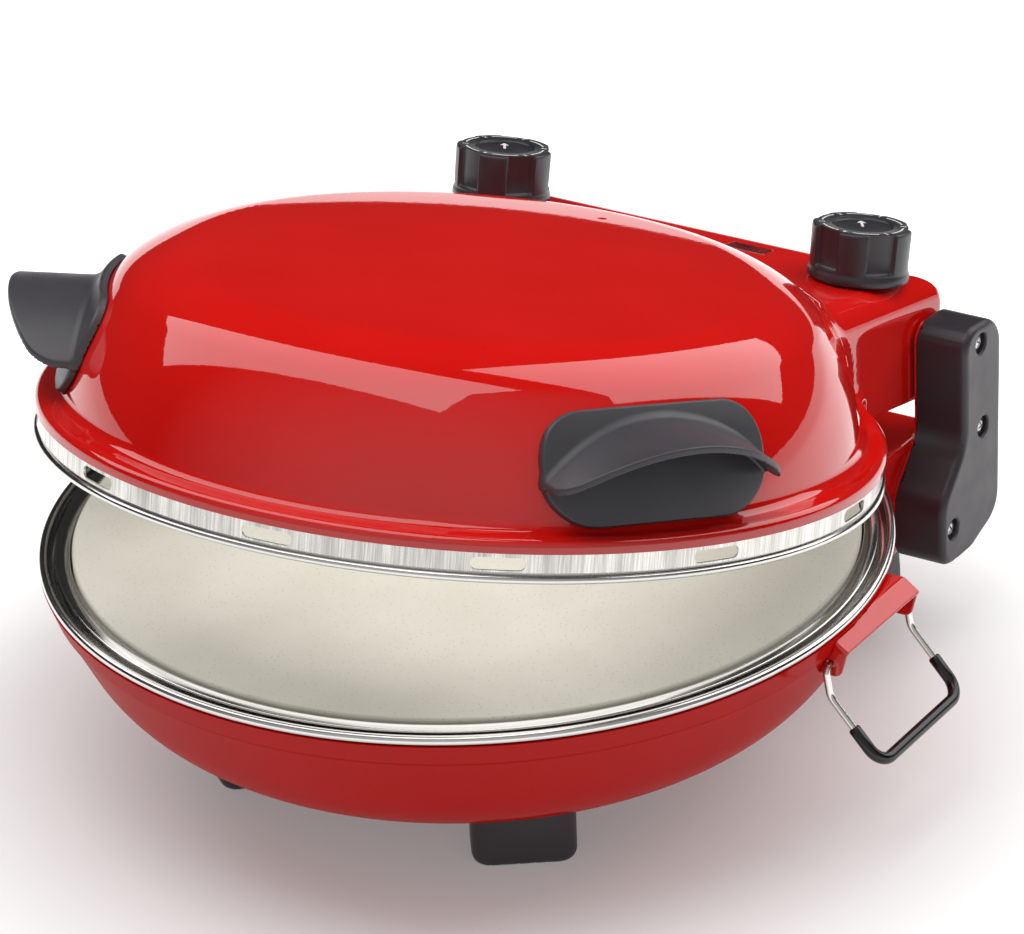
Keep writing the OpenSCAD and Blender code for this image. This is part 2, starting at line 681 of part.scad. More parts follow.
// the housing with the round clearance for the steel band under it
module lid_housing_block(w = 0) {
    difference() {
        lid_housing_solid(w);
        cylinder(h = lid_band_h + w, r = lid_r + rim_gap + w, $fn = 144);
    }
}
module lid_shell() {
    color("crimson") on_lid() difference() {
        union() {
            difference() {
                lid_body();
                lid_body(lid_t, lid_band_h - 1);
            }
            difference() {
                lid_housing_block();
                lid_housing_block(lid_t);
                lid_body(lid_t / 2, lid_band_h - 1);
            }
        }
        underside_opening();
        heater_leg_holes();
        for (s = [-1, 1]) {
            translate([s * knob_x, knob_y, 0]) cylinder(h = 100, r = shaft_bush_r + seat);
            translate([s * lens_x - lens_l / 2, lens_y - lens_w / 2, 0]) cube([lens_l, lens_w, 100]);
            translate([s * lid_housing_x, hinge_y, hinge_h]) rotate([0, 90, 0])
                cylinder(h = 10, r = pin_r + pin_gap + 0.4, center = true);
        }
        handle_screw_places() cylinder(h = 40, r = 1.8, center = true, $fn = 24);
    }
}
// clearance for the upper heater's two legs on their way into the rear housing
module heater_leg_holes() {
    for (s = [-1, 1]) translate([s * heater_gap, 100, upper_h]) rotate([-90, 0, 0])
        cylinder(h = 80, r = element_r + 0.5, $fn = 24);
}
heater_gap = 14;
// plan of the opening in the housing's underside, set in by w
module underside_outline(w) {
    x = lid_housing_x - 6;
    difference() {
        polygon(rounded(moved([[-x, housing_y - roof_r - 37, 3], [x, housing_y - roof_r - 37, 3],
            [x, housing_y - roof_r - 2, 3], [-x, housing_y - roof_r - 2, 3]], w)));
        circle(lid_r + rim_gap + lid_t + 2 + w, $fn = 144);
    }
}
module underside_opening() {
    translate([0, 0, floor_h - 1]) linear_extrude(lid_t + 2) underside_outline(0);
}
// plastic plate that closes the opening, with a lip that rests inside it
module lid_housing_cover() {
    color("#2e2b30") on_lid() {
        translate([0, 0, floor_h]) linear_extrude(lid_t + 0.1) underside_outline(0.3);
        translate([0, 0, floor_h + lid_t + seat]) linear_extrude(1.2) underside_outline(-1.5);
    }
}
shaft_bush_r = 5;
lens_x = 31;
lens_y = housing_y - 31;
lens_l = 20;
lens_w = 10;
module pilot_lens(side) {
    color("darkred") on_lid() translate([side * lens_x, lens_y, roof_h]) {
        translate([-lens_l / 2 + seat, -lens_w / 2 + seat, -lid_t - 1])
            cube([lens_l - 2 * seat, lens_w - 2 * seat, lid_t + 1.4]);
        translate([-lens_l / 2 - 1.5, -lens_w / 2 - 1.5, -lid_t - 4]) cube([lens_l + 3, lens_w + 3, 4 - seat]);
    }
}
module lid_hinge_plate(side) {
    color("silver") on_lid() mirrored(side) difference() {
        across(lid_housing_x - lid_t - seat - 2, lid_housing_x - lid_t - seat) polygon(rounded([
            [hinge_y - 24, hinge_h - 12, 5], [hinge_y + 8, hinge_h - 12, 5],
            [hinge_y + 8, hinge_h + 12, 5], [hinge_y - 24, hinge_h + 12, 5]]));
        translate([0, hinge_y, hinge_h]) rotate([0, 90, 0]) cylinder(h = 200, r = pin_r + pin_gap);
    }
}

// how far the liner draws in from its band to its ledge, and to its flat roof
liner_ledge = 16;
liner_in = 38;
module lid_liner() {
    outer = [[band_r, bead_r, 0], [band_r, lid_band_h + 2, 0], [band_r - liner_ledge, ledge_h - 3, 0],
        [band_r - liner_in, liner_h, 0], [0, liner_h, 0]];
    inner = moved(outer, liner_t, false);
    color("silver") on_lid() difference() {
        union() {
            rotate_extrude($fn = 144) translate([band_r - bead_r + 0.6, bead_r]) circle(bead_r, $fn = 32);
            ring([for (p = outer) point(p), for (i = [1:5]) point(inner[5 - i])]);
        }
        for (i = [0:vent_count - 1]) rotate(7.2 + i * 360 / vent_count) vent();
        heater_leg_holes();
    }
}
// one vent: a flat slot with round ends, cut along the lid's radius
module vent() {
    translate([band_r - 6, 0, lid_band_h * 0.6]) rotate([90, 0, 90]) linear_extrude(12) {
        square([vent_l - vent_h, vent_h], center = true);
        for (s = [-1, 1]) translate([s * (vent_l - vent_h) / 2, 0]) circle(vent_h / 2, $fn = 24);
    }
}
upper_h = liner_h - 16;
module upper_element() {
    color("dimgray") on_lid() heater(upper_loop, upper_h, knob_y - 6);
}
module upper_element_clips() {
    color("silver") on_lid() heater_clips(upper_loop, upper_h, liner_h - liner_t - seat);
}

// the flank of the lid between two distances outside it
module flank_skin(a, b) {
    difference() {
        lid_body(-b);
        lid_body(-a, lid_band_h - 1);
    }
}
module handle_place() {
    rotate(-handle_az) children();
}
plate_lean = lean_at(plate_mid);
plate_r = flank_at(plate_mid);
plate_screw_y = 26;
plate_screw_h = plate_mid - 6;
// where the two screws of a handle stand square on the lid's flank
module plate_screws() {
    r = flank_at(plate_screw_h);
    for (y = [-1, 1] * plate_screw_y) rotate(atan2(y, r)) translate([r, 0, plate_screw_h])
        rotate([0, 90 - lean_at(plate_screw_h), 0]) children();
}
module handle_screw_places() {
    for (s = [-1, 1]) mirrored(s) handle_place() plate_screws() children();
}
module lid_handle(side) {
    color("#3a373b") on_lid() mirrored(side) handle_place() {
        difference() {
            intersection() {
                flank_skin(seat, plate_t);
                translate([plate_r, 0, plate_mid]) rotate([0, 90 - plate_lean, 0]) rotate(90)
                    translate([0, 0, -30]) linear_extrude(60) polygon(rounded([
                        [-plate_w / 2 + 1, -plate_h / 2, 22], [plate_w / 2 - 1, -plate_h / 2, 22],
                        [plate_w / 2, plate_h / 2, 18], [-plate_w / 2, plate_h / 2, 18]]));
            }
            plate_screws() cylinder(h = plate_t * 2 - 3, r = 1.4, center = true, $fn = 24);
        }
        difference() {
            intersection() {
                grip_arch();
                grip_plan();
            }
            lid_body(-plate_t / 2, lid_band_h - 1);
        }
    }
}
// the arched blade of the grip before its outline is cut
module grip_arch() {
    top = plate_mid + plate_h / 2 - 5;
    translate([0, 0, top - arch_r]) rotate([0, 90, 0]) difference() {
        cylinder(h = 300, r = arch_r);
        translate([0, 0, -1]) cylinder(h = 302, r = arch_r - grip_t);
    }
}
// plan outline of the blade: deepest in the middle, drawn in at both ends
module grip_plan() {
    back = plate_r - 40;
    front = plate_r + grip_out - 8;
    translate([0, 0, plate_mid - 12]) linear_extrude(80) polygon(rounded([
        [back, -plate_w / 2 + 1, 0], [plate_r - 8, -plate_w / 2 + 1, 6], [front, -plate_w / 5, 30],
        [front, plate_w / 5, 30], [plate_r - 8, plate_w / 2 - 1, 6], [back, plate_w / 2 - 1, 0]]));
}
module lid_handle_screws() {
    washer = 0.3;
    color("silver") on_lid() handle_screw_places() translate([0, 0, -lid_t - washer]) rotate([180, 0, 0]) {
        cylinder(h = 2, r = 3.2, $fn = 24);
        translate([0, 0, -lid_t - washer - 1.3]) cylinder(h = lid_t + washer + 1.4, r = 1.3, $fn = 24);
    }
}

// ---- controls ----
module thermostat(side) {
    color("ivory") on_lid() translate([side * knob_x, knob_y, roof_h - lid_t - seat]) difference() {
        union() {
            translate([-10, -12, -22]) cube([20, 24, 22]);
            cylinder(h = lid_t + 0.4, r = shaft_bush_r);
        }
        translate([0, 0, -16]) cylinder(h = 30, r = shaft_r + 0.15, $fn = 32);
    }
}
module shaft(side) {
    color("silver") on_lid() translate([side * knob_x, knob_y, roof_h - lid_t - 12])
        cylinder(h = lid_t + 12 + knob_gap + knob_h * 0.5 - 0.3, r = shaft_r, $fn = 32);
}
// turning knob: flared foot, recessed panels between raised grips, dished top
module knob(side) {
    z = roof_h + knob_gap;
    waist = knob_r * 0.96;
    top_edge = knob_r * 0.98;
    color("#2a272c") on_lid() translate([side * knob_x, knob_y, z]) difference() {
        rotate_extrude() polygon([[0, 0], [knob_r - 0.8, 0], [knob_r, 0.8], [knob_r - 0.2, 3.2],
            [waist, 4.6], [top_edge, knob_h - 1], [top_edge - 1, knob_h], [0, knob_h]]);
        for (i = [0:knob_panels - 1]) rotate(i * 360 / knob_panels) translate([waist - 1.6, 0, 5.2])
            knob_panel();
        translate([0, 0, knob_h - 1.2]) cylinder(h = 2, r = knob_cap_r);
        translate([0, 0, -eps]) cylinder(h = knob_h * 0.5, r = shaft_r + seat, $fn = 32);
        translate([0, 0, -eps]) difference() {
            cylinder(h = knob_h - 5, r = knob_r - 5);
            translate([0, 0, -1]) cylinder(h = knob_h, r = shaft_r + 3);
        }
    }
}
knob_cap_r = 12.4;
module knob_panel() {
    half = knob_r * sin(90 / knob_panels) * 0.95;
    translate([0, -half, 0]) cube([8, 2 * half, knob_h - 5.2 - 1.2]);
}
// the disc in the knob's top, with a raised pointer
module knob_cap(side) {
    z = roof_h + knob_gap + knob_h - 1.2;
    color("#201d22") on_lid() translate([side * knob_x, knob_y, z + seat]) {
        cylinder(h = 0.6, r = knob_cap_r - seat);
        translate([-0.8, -knob_cap_r * 0.8, 0.5]) cube([1.6, knob_cap_r * 1.1, 0.5]);
    }
}

// sets a part drawn about the bowl's axis into the object's frame
module set() {
    translate([0, bowl_y, 0]) children();
}
set() base_bowl();
set() reflector_pan();
set() baking_stone();
set() lower_element();
set() lower_element_clips();
set() front_foot(-1);  // front_foot_left
set() front_foot(1);  // front_foot_right
set() rear_foot(-1);  // rear_foot_left
set() rear_foot(1);  // rear_foot_right
set() foot_screws();
set() base_housing();
set() terminal_block();
set() cable_gland();
set() hinge_bracket(-1);  // hinge_bracket_left
set() hinge_bracket(1);  // hinge_bracket_right
set() hinge_pin(-1);  // hinge_pin_left
set() hinge_pin(1);  // hinge_pin_right
set() arm_cover(-1);  // arm_cover_left
set() arm_cover(1);  // arm_cover_right
set() arm_screws();
set() arm_wiring();
set() handle_bracket(-1);  // handle_bracket_left
set() handle_bracket(1);  // handle_bracket_right
set() lid_shell();
set() lid_liner();
set() upper_element();
set() upper_element_clips();
set() lid_housing_cover();
set() lid_hinge_plate(-1);  // lid_hinge_plate_left
set() lid_hinge_plate(1);  // lid_hinge_plate_right
set() lid_handle(-1);  // lid_handle_left
set() lid_handle(1);  // lid_handle_right
set() lid_handle_screws();
set() thermostat(-1);  // thermostat_left
set() thermostat(1);  // thermostat_right
set() pilot_lens(-1);  // pilot_lens_left
set() pilot_lens(1);  // pilot_lens_right
set() knob(-1);  // knob_left
set() knob(1);  // knob_right
set() knob_cap(-1);  // knob_cap_left
set() knob_cap(1);  // knob_cap_right
set() shaft(-1);  // shaft_left
set() shaft(1);  // shaft_right
set() wire_handle(-1);  // wire_handle_left
set() wire_handle(1);  // wire_handle_right
set() wire_grip(-1);  // wire_grip_left
set() wire_grip(1);  // wire_grip_right
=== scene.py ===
import math

import bpy
import numpy as np
from mathutils import Matrix, Vector


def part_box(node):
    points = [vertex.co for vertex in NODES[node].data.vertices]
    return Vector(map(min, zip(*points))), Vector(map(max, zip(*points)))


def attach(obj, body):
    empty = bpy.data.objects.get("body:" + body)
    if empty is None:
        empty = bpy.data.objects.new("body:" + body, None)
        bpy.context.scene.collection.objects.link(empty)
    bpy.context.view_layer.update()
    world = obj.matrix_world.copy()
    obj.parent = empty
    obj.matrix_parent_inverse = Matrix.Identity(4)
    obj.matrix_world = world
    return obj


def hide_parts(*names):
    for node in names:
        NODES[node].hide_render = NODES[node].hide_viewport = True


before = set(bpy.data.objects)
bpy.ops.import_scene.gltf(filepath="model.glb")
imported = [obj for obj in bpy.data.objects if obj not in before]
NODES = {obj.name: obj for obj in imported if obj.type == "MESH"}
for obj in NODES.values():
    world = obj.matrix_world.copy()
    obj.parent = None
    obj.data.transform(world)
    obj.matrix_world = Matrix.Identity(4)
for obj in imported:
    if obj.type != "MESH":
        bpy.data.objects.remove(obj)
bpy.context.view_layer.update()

MM = 0.001

# ---- sizes, in millimetres, as the part's own drawing has them: heights count from the rim's plane ----
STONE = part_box("baking_stone")
CENTRE_Y = (STONE[0].y + STONE[1].y) / 2
RIM_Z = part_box("reflector_pan")[1].z
FLOOR = -RIM_Z / MM
STONE_R = (STONE[1].x - STONE[0].x) / 2 / MM
PAN_R = (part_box("reflector_pan")[1].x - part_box("reflector_pan")[0].x) / 2 / MM
ROLL_R = 2.0
LID_R = PAN_R - 2.5
BAND_R = LID_R - 1.2
BAND_H = 12.0
LEDGE_H = 17.5
FLANK_R = LID_R - 10.8
FLANK_BULGE = 6.0
TOP_R = 130.2
TOP_H = 75.4
CROWN = 5.0
ROOF_H = 58.6
HUMP_LOW = 6.5
HUMP_X = 111.5
HUMP_Y = 202.0
HINGE_Y, HINGE_H = 180.0, 31.0
LID_OPEN = math.radians(11.4)
SIDES = ((-1, "left"), (1, "right"))


def on_base(points):
    """Places drawn about the bowl's axis, in millimetres from the rim's plane, as metres in the frame."""
    return np.asarray(points, float) * MM + (0, CENTRE_Y, RIM_Z)


def on_lid(points):
    """Places drawn on the closed lid, turned about the hinge to where the lid stands open."""
    p = np.array(points, float)
    y, h = p[:, 1] - HINGE_Y, p[:, 2] - HINGE_H
    p[:, 1] = y * math.cos(LID_OPEN) + h * math.sin(LID_OPEN) + HINGE_Y
    p[:, 2] = h * math.cos(LID_OPEN) - y * math.sin(LID_OPEN) + HINGE_H
    return on_base(p)


# ---- shapes as fields: the distance of points to a form's surface, less than zero inside it ----
def both(a, b, r):
    """What lies in both forms, its edge rounded by r."""
    a, b = np.broadcast_arrays(a, b)
    corner = np.hypot(np.maximum(a + r, 0), np.maximum(b + r, 0))
    return np.minimum(np.maximum(a, b), -r) + corner


def either(a, b, r):
    """What lies in one form or the other, the hollow between them filled by r."""
    return -both(-a, -b, r)


def rounded_box(u, v, half_u, half_v, r):
    """A rectangle with rounded corners."""
    a, b = np.abs(u) - half_u + r, np.abs(v) - half_v + r
    return np.minimum(np.maximum(a, b), 0) + np.hypot(np.maximum(a, 0), np.maximum(b, 0)) - r


def slope_of(field, p):
    """The field's direction of steepest growth at each point."""
    e = 0.02
    parts = [field(p + step) - field(p - step) for step in np.eye(3) * e]
    return np.stack(parts, -1) / (2 * e)


def settle(field, p, passes=4):
    """Moves points onto the field's surface, and gives its unit normals there."""
    for _ in range(passes):
        g = slope_of(field, p)
        shift = field(p) / np.maximum((g * g).sum(1), 0.05)
        p = p - np.clip(shift, -1.5, 1.5)[:, None] * g
    g = slope_of(field, p)
    return p, g / np.maximum(np.linalg.norm(g, axis=1, keepdims=True), 1e-6)


def skin(field, low, high, step):
    """The surface of a field inside a box: points, four-sided faces and normals, from a grid of cells."""
    axes = [np.arange(a, b + step, step) for a, b in zip(low, high)]
    grid = np.stack(np.meshgrid(*axes, indexing="ij"), -1)
    inside = (field(grid.reshape(-1, 3)) < 0).reshape(grid.shape[:3])
    count = sum(inside[i:i - 1 or None, j:j - 1 or None, k:k - 1 or None].astype(int)
                for i in (0, 1) for j in (0, 1) for k in (0, 1))
    mixed = (count > 0) & (count < 8)
    number = np.full(mixed.shape, -1)
    number[mixed] = np.arange(mixed.sum())
    points = grid[:-1, :-1, :-1][mixed] + step / 2
    faces = []
    for axis in range(3):
        ahead = np.moveaxis(inside, axis, 0)
        cells = np.moveaxis(number, axis, 0)
        change = ahead[1:, 1:-1, 1:-1].astype(int) - ahead[:-1, 1:-1, 1:-1]
        for sign in (-1, 1):
            i, j, k = np.nonzero(change == sign)
            ring = [cells[i, j, k], cells[i, j + 1, k], cells[i, j + 1, k + 1], cells[i, j, k + 1]]
            turn = sign if axis == 1 else -sign
            faces.append(np.stack(ring[::turn], -1))
    points, normals = settle(field, points)
    return points, np.concatenate(faces), normals


# ---- meshes ----
def mesh_of(name, points, faces=()):
    """A plain mesh."""
    mesh = bpy.data.meshes.new(name)
    mesh.from_pydata([tuple(p) for p in points], [], [tuple(int(i) for i in f) for f in faces])
    return mesh


def linked(name, data):
    """A new object in the scene."""
    obj = bpy.data.objects.new(name, data)
    bpy.context.scene.collection.objects.link(obj)
    return obj


def piece(name, points, faces, body, mat, replaces=(), normals=None, smooth=30, slot=None):
    """A finished piece from places in the drawing: its body, its material and the nodes that it stands for."""
    place = on_lid if body.startswith(("lid", "knob")) else on_base
    mesh = mesh_of(name, place(points), faces)
    mesh.validate()
    mesh.shade_smooth()
    if normals is None:
        mesh.set_sharp_from_angle(angle=math.radians(smooth))
    else:
        normals = place(normals) - place(np.zeros((1, 3)))
        mesh.normals_split_custom_set_from_vertices([tuple(n) for n in normals])
    mesh.materials.append(mat)
    obj = linked(name, mesh)
    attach(obj, body)
    if replaces:
        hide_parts(*replaces)


def formed(name, field, low, high, step, body, mat, replaces):
    """A piece from a field, in a box of the drawing."""
    points, faces, normals = skin(field, low, high, step)
    piece(name, points, faces, body, mat, replaces, normals)


def unit(v):
    """A vector's direction."""
    return v / np.linalg.norm(v)


def spun(points, turn):
    """The x and y of places turned about the origin."""
    c, s = math.cos(turn), math.sin(turn)
    return points[:, :2] @ np.array([[c, s], [-s, c]])


def corner(before, p, after, r):
    """The arc that rounds a corner: its centre, and its two ends as seen from there."""
    u, v = unit(before - p), unit(after - p)
    half = math.acos(np.clip(u @ v, -1, 1)) / 2
    centre = p + unit(u + v) * r / math.sin(half)
    return centre, p + u * r / math.tan(half) - centre, p + v * r / math.tan(half) - centre


def rounded(outline, steps=8, loop=True):
    """The points of an outline of (x, y, radius) corners, each rounded by its radius."""
    result = []
    count = len(outline)
    for i, (x, y, r) in enumerate(outline):
        p = np.array((x, y))
        if r == 0 or (not loop and i in (0, count - 1)):
            result.append(p)
            continue
        centre, a, b = corner(np.array(outline[i - 1][:2]), p, np.array(outline[(i + 1) % count][:2]), r)
        result += [centre + unit(a * (1 - t) + b * t) * r for t in np.linspace(0, 1, steps + 1)]
    return np.array(result)


def net(columns, rows, ring=True, closed=False):
    """Four-sided faces of a net of points, column after column. Either way its two ends may be joined."""
    i, j = np.meshgrid(np.arange(columns - (not ring)), np.arange(rows - (not closed)), indexing="ij")
    a, b = (i + 1) % columns, (j + 1) % rows
    return np.stack([i * rows + j, a * rows + j, a * rows + b, i * rows + b], -1).reshape(-1, 4)


def stack(rings, count):
    """Faces of a closed stack of rings of points, from its foot up."""
    sides = np.roll(net(rings, count, False, True)[:, ::-1], 1, axis=1)
    return [*sides, range(count)[::-1], range((rings - 1) * count, rings * count)]


def turned(outline, around=360):
    """A closed (radius, height) outline spun about the bowl's axis: points and faces."""
    outline = np.asarray(outline, float)
    angle = np.arange(around) * 2 * math.pi / around
    points = np.stack([np.outer(np.cos(angle), outline[:, 0]), np.outer(np.sin(angle), outline[:, 0]),
                       np.broadcast_to(outline[:, 1], (around, len(outline)))], -1).reshape(-1, 3)
    return points, net(around, len(outline), closed=True)


# ---- the lid's shell ----
def flank_field(p):
    """The dome without its skirt: a flank curved outwards, a rounded crease and a crowned top."""
    r, h = np.hypot(p[:, 0], p[:, 1]), p[:, 2]
    rise, run = TOP_H - LEDGE_H, FLANK_R - TOP_R
    length = math.hypot(rise, run)
    n = np.array((rise, run)) / length
    along = np.clip(((h - LEDGE_H) * n[0] - (r - FLANK_R) * n[1]) / length, -0.1, 1.2)
    flank = (r - FLANK_R) * n[0] + (h - LEDGE_H) * n[1] - 4 * FLANK_BULGE * along * (1 - along)
    top = h - TOP_H - CROWN * (1 - (r / TOP_R) ** 3)
    return both(flank, top, 10.0)


def dome_field(p):
    """The pressed dome, with the skirt and ledge under it."""
    skirt = both(np.hypot(p[:, 0], p[:, 1]) - LID_R, p[:, 2] - LEDGE_H, 3.0)
    return either(skirt, flank_field(p), 4.0)


def hump_field(p):
    """The rear housing of the lid: a long block, half round behind."""
    x, y, top, low = np.abs(p[:, 0]) - HUMP_X, p[:, 1] - HUMP_Y, p[:, 2] - ROOF_H, HUMP_LOW - p[:, 2]
    ends = both(both(x, y, 8.0), top, 14.0)
    back = np.maximum(both(y, top, 20.0), both(y, low, 20.0))
    return np.maximum(both(np.maximum(ends, back), low, 1.5), TOP_R / 2 - p[:, 1])


def shell_field(p):
    """The whole lid: the dome run into its housing."""
    return either(dome_field(p), hump_field(p), 7.0)


def reach(field, start, direction, far=400.0):
    """How far each ray from inside a form goes before it leaves it."""
    near = np.zeros(len(direction))
    far = np.full(len(direction), far)
    for _ in range(26):
        middle = (near + far) / 2
        inside = field(start + direction * middle[:, None]) < 0
        near, far = np.where(inside, middle, near), np.where(inside, far, middle)
    return near


def even(values, weights, count):
    """Count + 1 values along a row, spread by weight."""
    total = np.concatenate([[0], np.cumsum(weights)])
    return np.interp(np.linspace(0, total[-1], count + 1), total, values)


def lid_shell(mat):
    """The pressed shell, found by rays from inside it, which crowd together where it bends."""
    heart = np.array((0, 100.0, BAND_H + 0.001))
    around, rows, sheet = 600, 118, 1.2

    def ray(azimuth, height):
        return np.stack([np.cos(height) * np.cos(azimuth), np.cos(height) * np.sin(azimuth), np.sin(height)], -1)

    def spread(angles, path, count, pitch, bend):
        step = np.diff(path, axis=0)
        length = np.linalg.norm(step, axis=1)
        along = step / np.maximum(length, 1e-9)[:, None]
        turn = np.arccos(np.clip((along[1:] * along[:-1]).sum(1), -1, 1))
        turn = np.concatenate([turn[:1], turn])
        weight = length / pitch + np.convolve(turn, np.ones(9) / 9, "same") / math.radians(bend)
        return even(angles, weight, count)

    azimuth = np.linspace(-math.pi, math.pi, 4001)
    flat = ray(azimuth, np.zeros_like(azimuth))
    rim = heart + flat * reach(shell_field, heart, flat)[:, None]
    azimuth = spread(azimuth, rim, around, 2.4, 5)[:-1]
    height = np.linspace(0, math.pi / 2, 500)
    rays = ray(azimuth[:, None], np.tile(height, (around, 1)))
    hits = heart + rays * reach(shell_field, heart, rays.reshape(-1, 3)).reshape(around, -1)[..., None]
    chosen = np.array([spread(height, path, rows, 2.2, 7) for path in hits])
    smooth = np.exp(-np.linspace(-2, 2, 25) ** 2)
    smooth /= smooth.sum()
    for j in range(rows + 1):
        wrapped = np.concatenate([chosen[-12:, j], chosen[:, j], chosen[:12, j]])
        chosen[:, j] = np.convolve(wrapped, smooth, "valid")
    rays = ray(azimuth[:, None], chosen[:, :-1]).reshape(-1, 3)
    outer = heart + rays * reach(shell_field, heart, rays)[:, None]
    slope = slope_of(shell_field, outer)
    outward = slope / np.linalg.norm(slope, axis=1, keepdims=True)
    level = outward.copy()
    level[np.arange(around) * rows, 2] = 0
    coarse = np.arange(0, rows, 3)
    inner = outer - level / np.linalg.norm(level, axis=1, keepdims=True) * sheet
    inner = inner.reshape(around, rows, 3)[:, coarse]
    facing = -outward.reshape(around, rows, 3)[:, coarse]
    inner[:, 1:] += facing[:, 1:]
    pole = reach(shell_field, heart, np.array([[0, 0, 1.0]]))[0]
    tips = np.array([heart + (0, 0, pole), heart + (0, 0, pole - sheet - 1)])
    points = np.concatenate([outer, inner.reshape(-1, 3), tips])
    normals = np.concatenate([outward, facing.reshape(-1, 3), [[0, 0, 1], [0, 0, -1]]])
    n, m, less = len(outer), len(points) - 2, len(coarse)
    i = np.arange(around)
    a = (i + 1) % around
    rim = np.stack([i * rows, i * less + n, a * less + n, a * rows], -1)
    caps = [(p * rows + rows - 1, q * rows + rows - 1, m) for p, q in zip(i, a)]
    caps += [(q * less + less - 1 + n, p * less + less - 1 + n, m + 1) for p, q in zip(i, a)]
    faces = [*net(around, rows), *(net(around, less)[:, ::-1] + n), *rim, *caps]
    piece("lid_shell_skin", points, faces, "lid", mat, ["lid_shell"], normals)


def housing_foot(mat):
    """The rear housing's wall below the lid's skirt, with the round clearance for the steel band."""
    clear, middle_y, low = LID_R + 0.3, 150.0, HUMP_LOW
    end = math.atan2(math.sqrt(clear ** 2 - HUMP_X ** 2) - middle_y, HUMP_X)
    azimuth = np.linspace(end, math.pi - end, 420)
    flat = np.stack([np.cos(azimuth), np.sin(azimuth), np.zeros_like(azimuth)], -1)
    rows = []
    for h in (BAND_H, 11.0, 10.0, 9.0, 8.2, 7.6, 7.2, 6.9, 6.7, 6.56, 6.505):
        start = np.array((0, middle_y, h))
        rows.append(start + flat * reach(hump_field, start, flat)[:, None])
    around = np.arctan2(rows[0][:, 1], rows[0][:, 0])
    for h in (low, BAND_H):
        rows.append(np.stack([clear * np.cos(around), clear * np.sin(around), np.full_like(around, h)], -1))
    n, count = len(azimuth), len(rows)
    faces = [*net(count, n), range(0, count * n, n)[::-1], range(n - 1, count * n, n)]
    piece("lid_housing_foot", np.concatenate(rows), faces, "lid", mat)


# ---- grips on the lid ----
GRIP_AZ = math.radians(29.5)
GRIP_LEAN = math.radians(21.4)
GRIP_R, GRIP_H = 154.3, 40.9


def grip(side, name, mat):
    """A grip: a plate that follows the lid's flank, and an arched blade that stands out from it."""
    half, plate_thick, blade_thick, stands_out, arc_r = 48.0, 3.6, 3.0, 28.0, 66.0
    azimuth = -GRIP_AZ if side > 0 else math.pi + GRIP_AZ
    out = np.array((math.cos(azimuth), math.sin(azimuth), 0))
    across = np.array((-out[1], out[0], 0)) * side
    centre = out * GRIP_R + (0, 0, GRIP_H)
    upward = np.array((0, 0, math.cos(GRIP_LEAN))) - out * math.sin(GRIP_LEAN)

    def field(p):
        q = p - centre
        u, v, reach_out = q @ across, q @ upward, q @ out
        skin_off = flank_field(p)
        wide = half + 0.6 - 0.03 * (v + 20)
        plate_edge = rounded_box(u * half / wide, v, half, 22.3, np.clip(19.5 - v * 0.15, 17, 22))
        plate = both(both(plate_edge, skin_off - plate_thick, 0.8), 0.3 - skin_off, 0.3)
        lift = 15.0 + np.sqrt(np.maximum(arc_r ** 2 - u ** 2, 1.0)) - arc_r
        sheet = np.abs(q[:, 2] - lift + 0.04 * reach_out) - blade_thick / 2
        depth = reach_out - stands_out * np.sqrt(np.maximum(1 - (u / 50.5) ** 2, 0.0)) - 2.0
        edge = both(depth, np.abs(u) - half - 0.3, 6.0)
        blade = both(both(sheet, edge * 0.8, 0.7), 1.0 - skin_off, 0.5)
        return either(plate, blade, 2.2)

    low, high = centre - 66, centre + 66
    low[2], high[2] = 14.0, 72.0
    formed("lid_grip_%s_moulding" % name, field, low, high, 0.8, "lid", mat, ["lid_handle_" + name])


# ---- arms ----
ARM_IN, ARM_OUT = 114.6, 138.0
ARM_SCREWS = [(HINGE_Y + 4.6, HINGE_H + 5), (HINGE_Y + 7, HINGE_H - 34.5), (HINGE_Y - 19, HINGE_H - 71.5)]
ARM_OUTLINE = [(152.5, -55, 8), (172, -59.5, 6), (203.3, -49, 14), (203.3, 42.5, 14), (170.3, 46, 10),
               (171.3, -6, 20), (151.8, -27, 16)]


def from_line(line, u, v):
    """How far (u, v) places are from a line of points."""
    best = np.full(u.shape, 1e9)
    for a, b in zip(line[:-1], line[1:]):
        edge = b - a
        square = edge @ edge
        if square > 1e-12:
            du, dv = u - a[0], v - a[1]
            t = np.clip((du * edge[0] + dv * edge[1]) / square, 0, 1)
            best = np.minimum(best, (du - t * edge[0]) ** 2 + (dv - t * edge[1]) ** 2)
    return np.sqrt(best)


def outline_field(outline, steps=10):
    """The distance of (u, v) places to a rounded outline."""
    ring = rounded(outline, steps)

    def field(u, v):
        inside = np.zeros(u.shape, bool)
        for a, b in zip(ring, np.roll(ring, -1, 0)):
            crosses = (a[1] > v) != (b[1] > v)
            with np.errstate(divide="ignore", invalid="ignore"):
                inside ^= crosses & (u < (b[0] - a[0]) * (v - a[1]) / (b[1] - a[1]) + a[0])
        return np.where(inside, -1, 1) * from_line([*ring, ring[0]], u, v)

    return field


def arm(side, name, mat):
    """An arm's cover: a rounded plate over the hinge, with a well for each screw."""
    shape = outline_field(ARM_OUTLINE)

    def field(p):
        x = p[:, 0] * side
        body = both(both(shape(p[:, 1], p[:, 2]), x - ARM_OUT, 3.0), ARM_IN - x, 0.6)
        for y, z in ARM_SCREWS:
            well = both(np.hypot(p[:, 1] - y, p[:, 2] - z) - 4.6, ARM_OUT - 3.0 - x, 0.2)
            body = both(body, -well, 0.7)
        return body

    a, b = sorted((side * (ARM_IN - 1.1), side * (ARM_OUT + 1)))
    formed("arm_%s_cover" % name, field, (a, 145, -56), (b, 207, 50), 1.2, "base", mat, ["arm_cover_" + name])


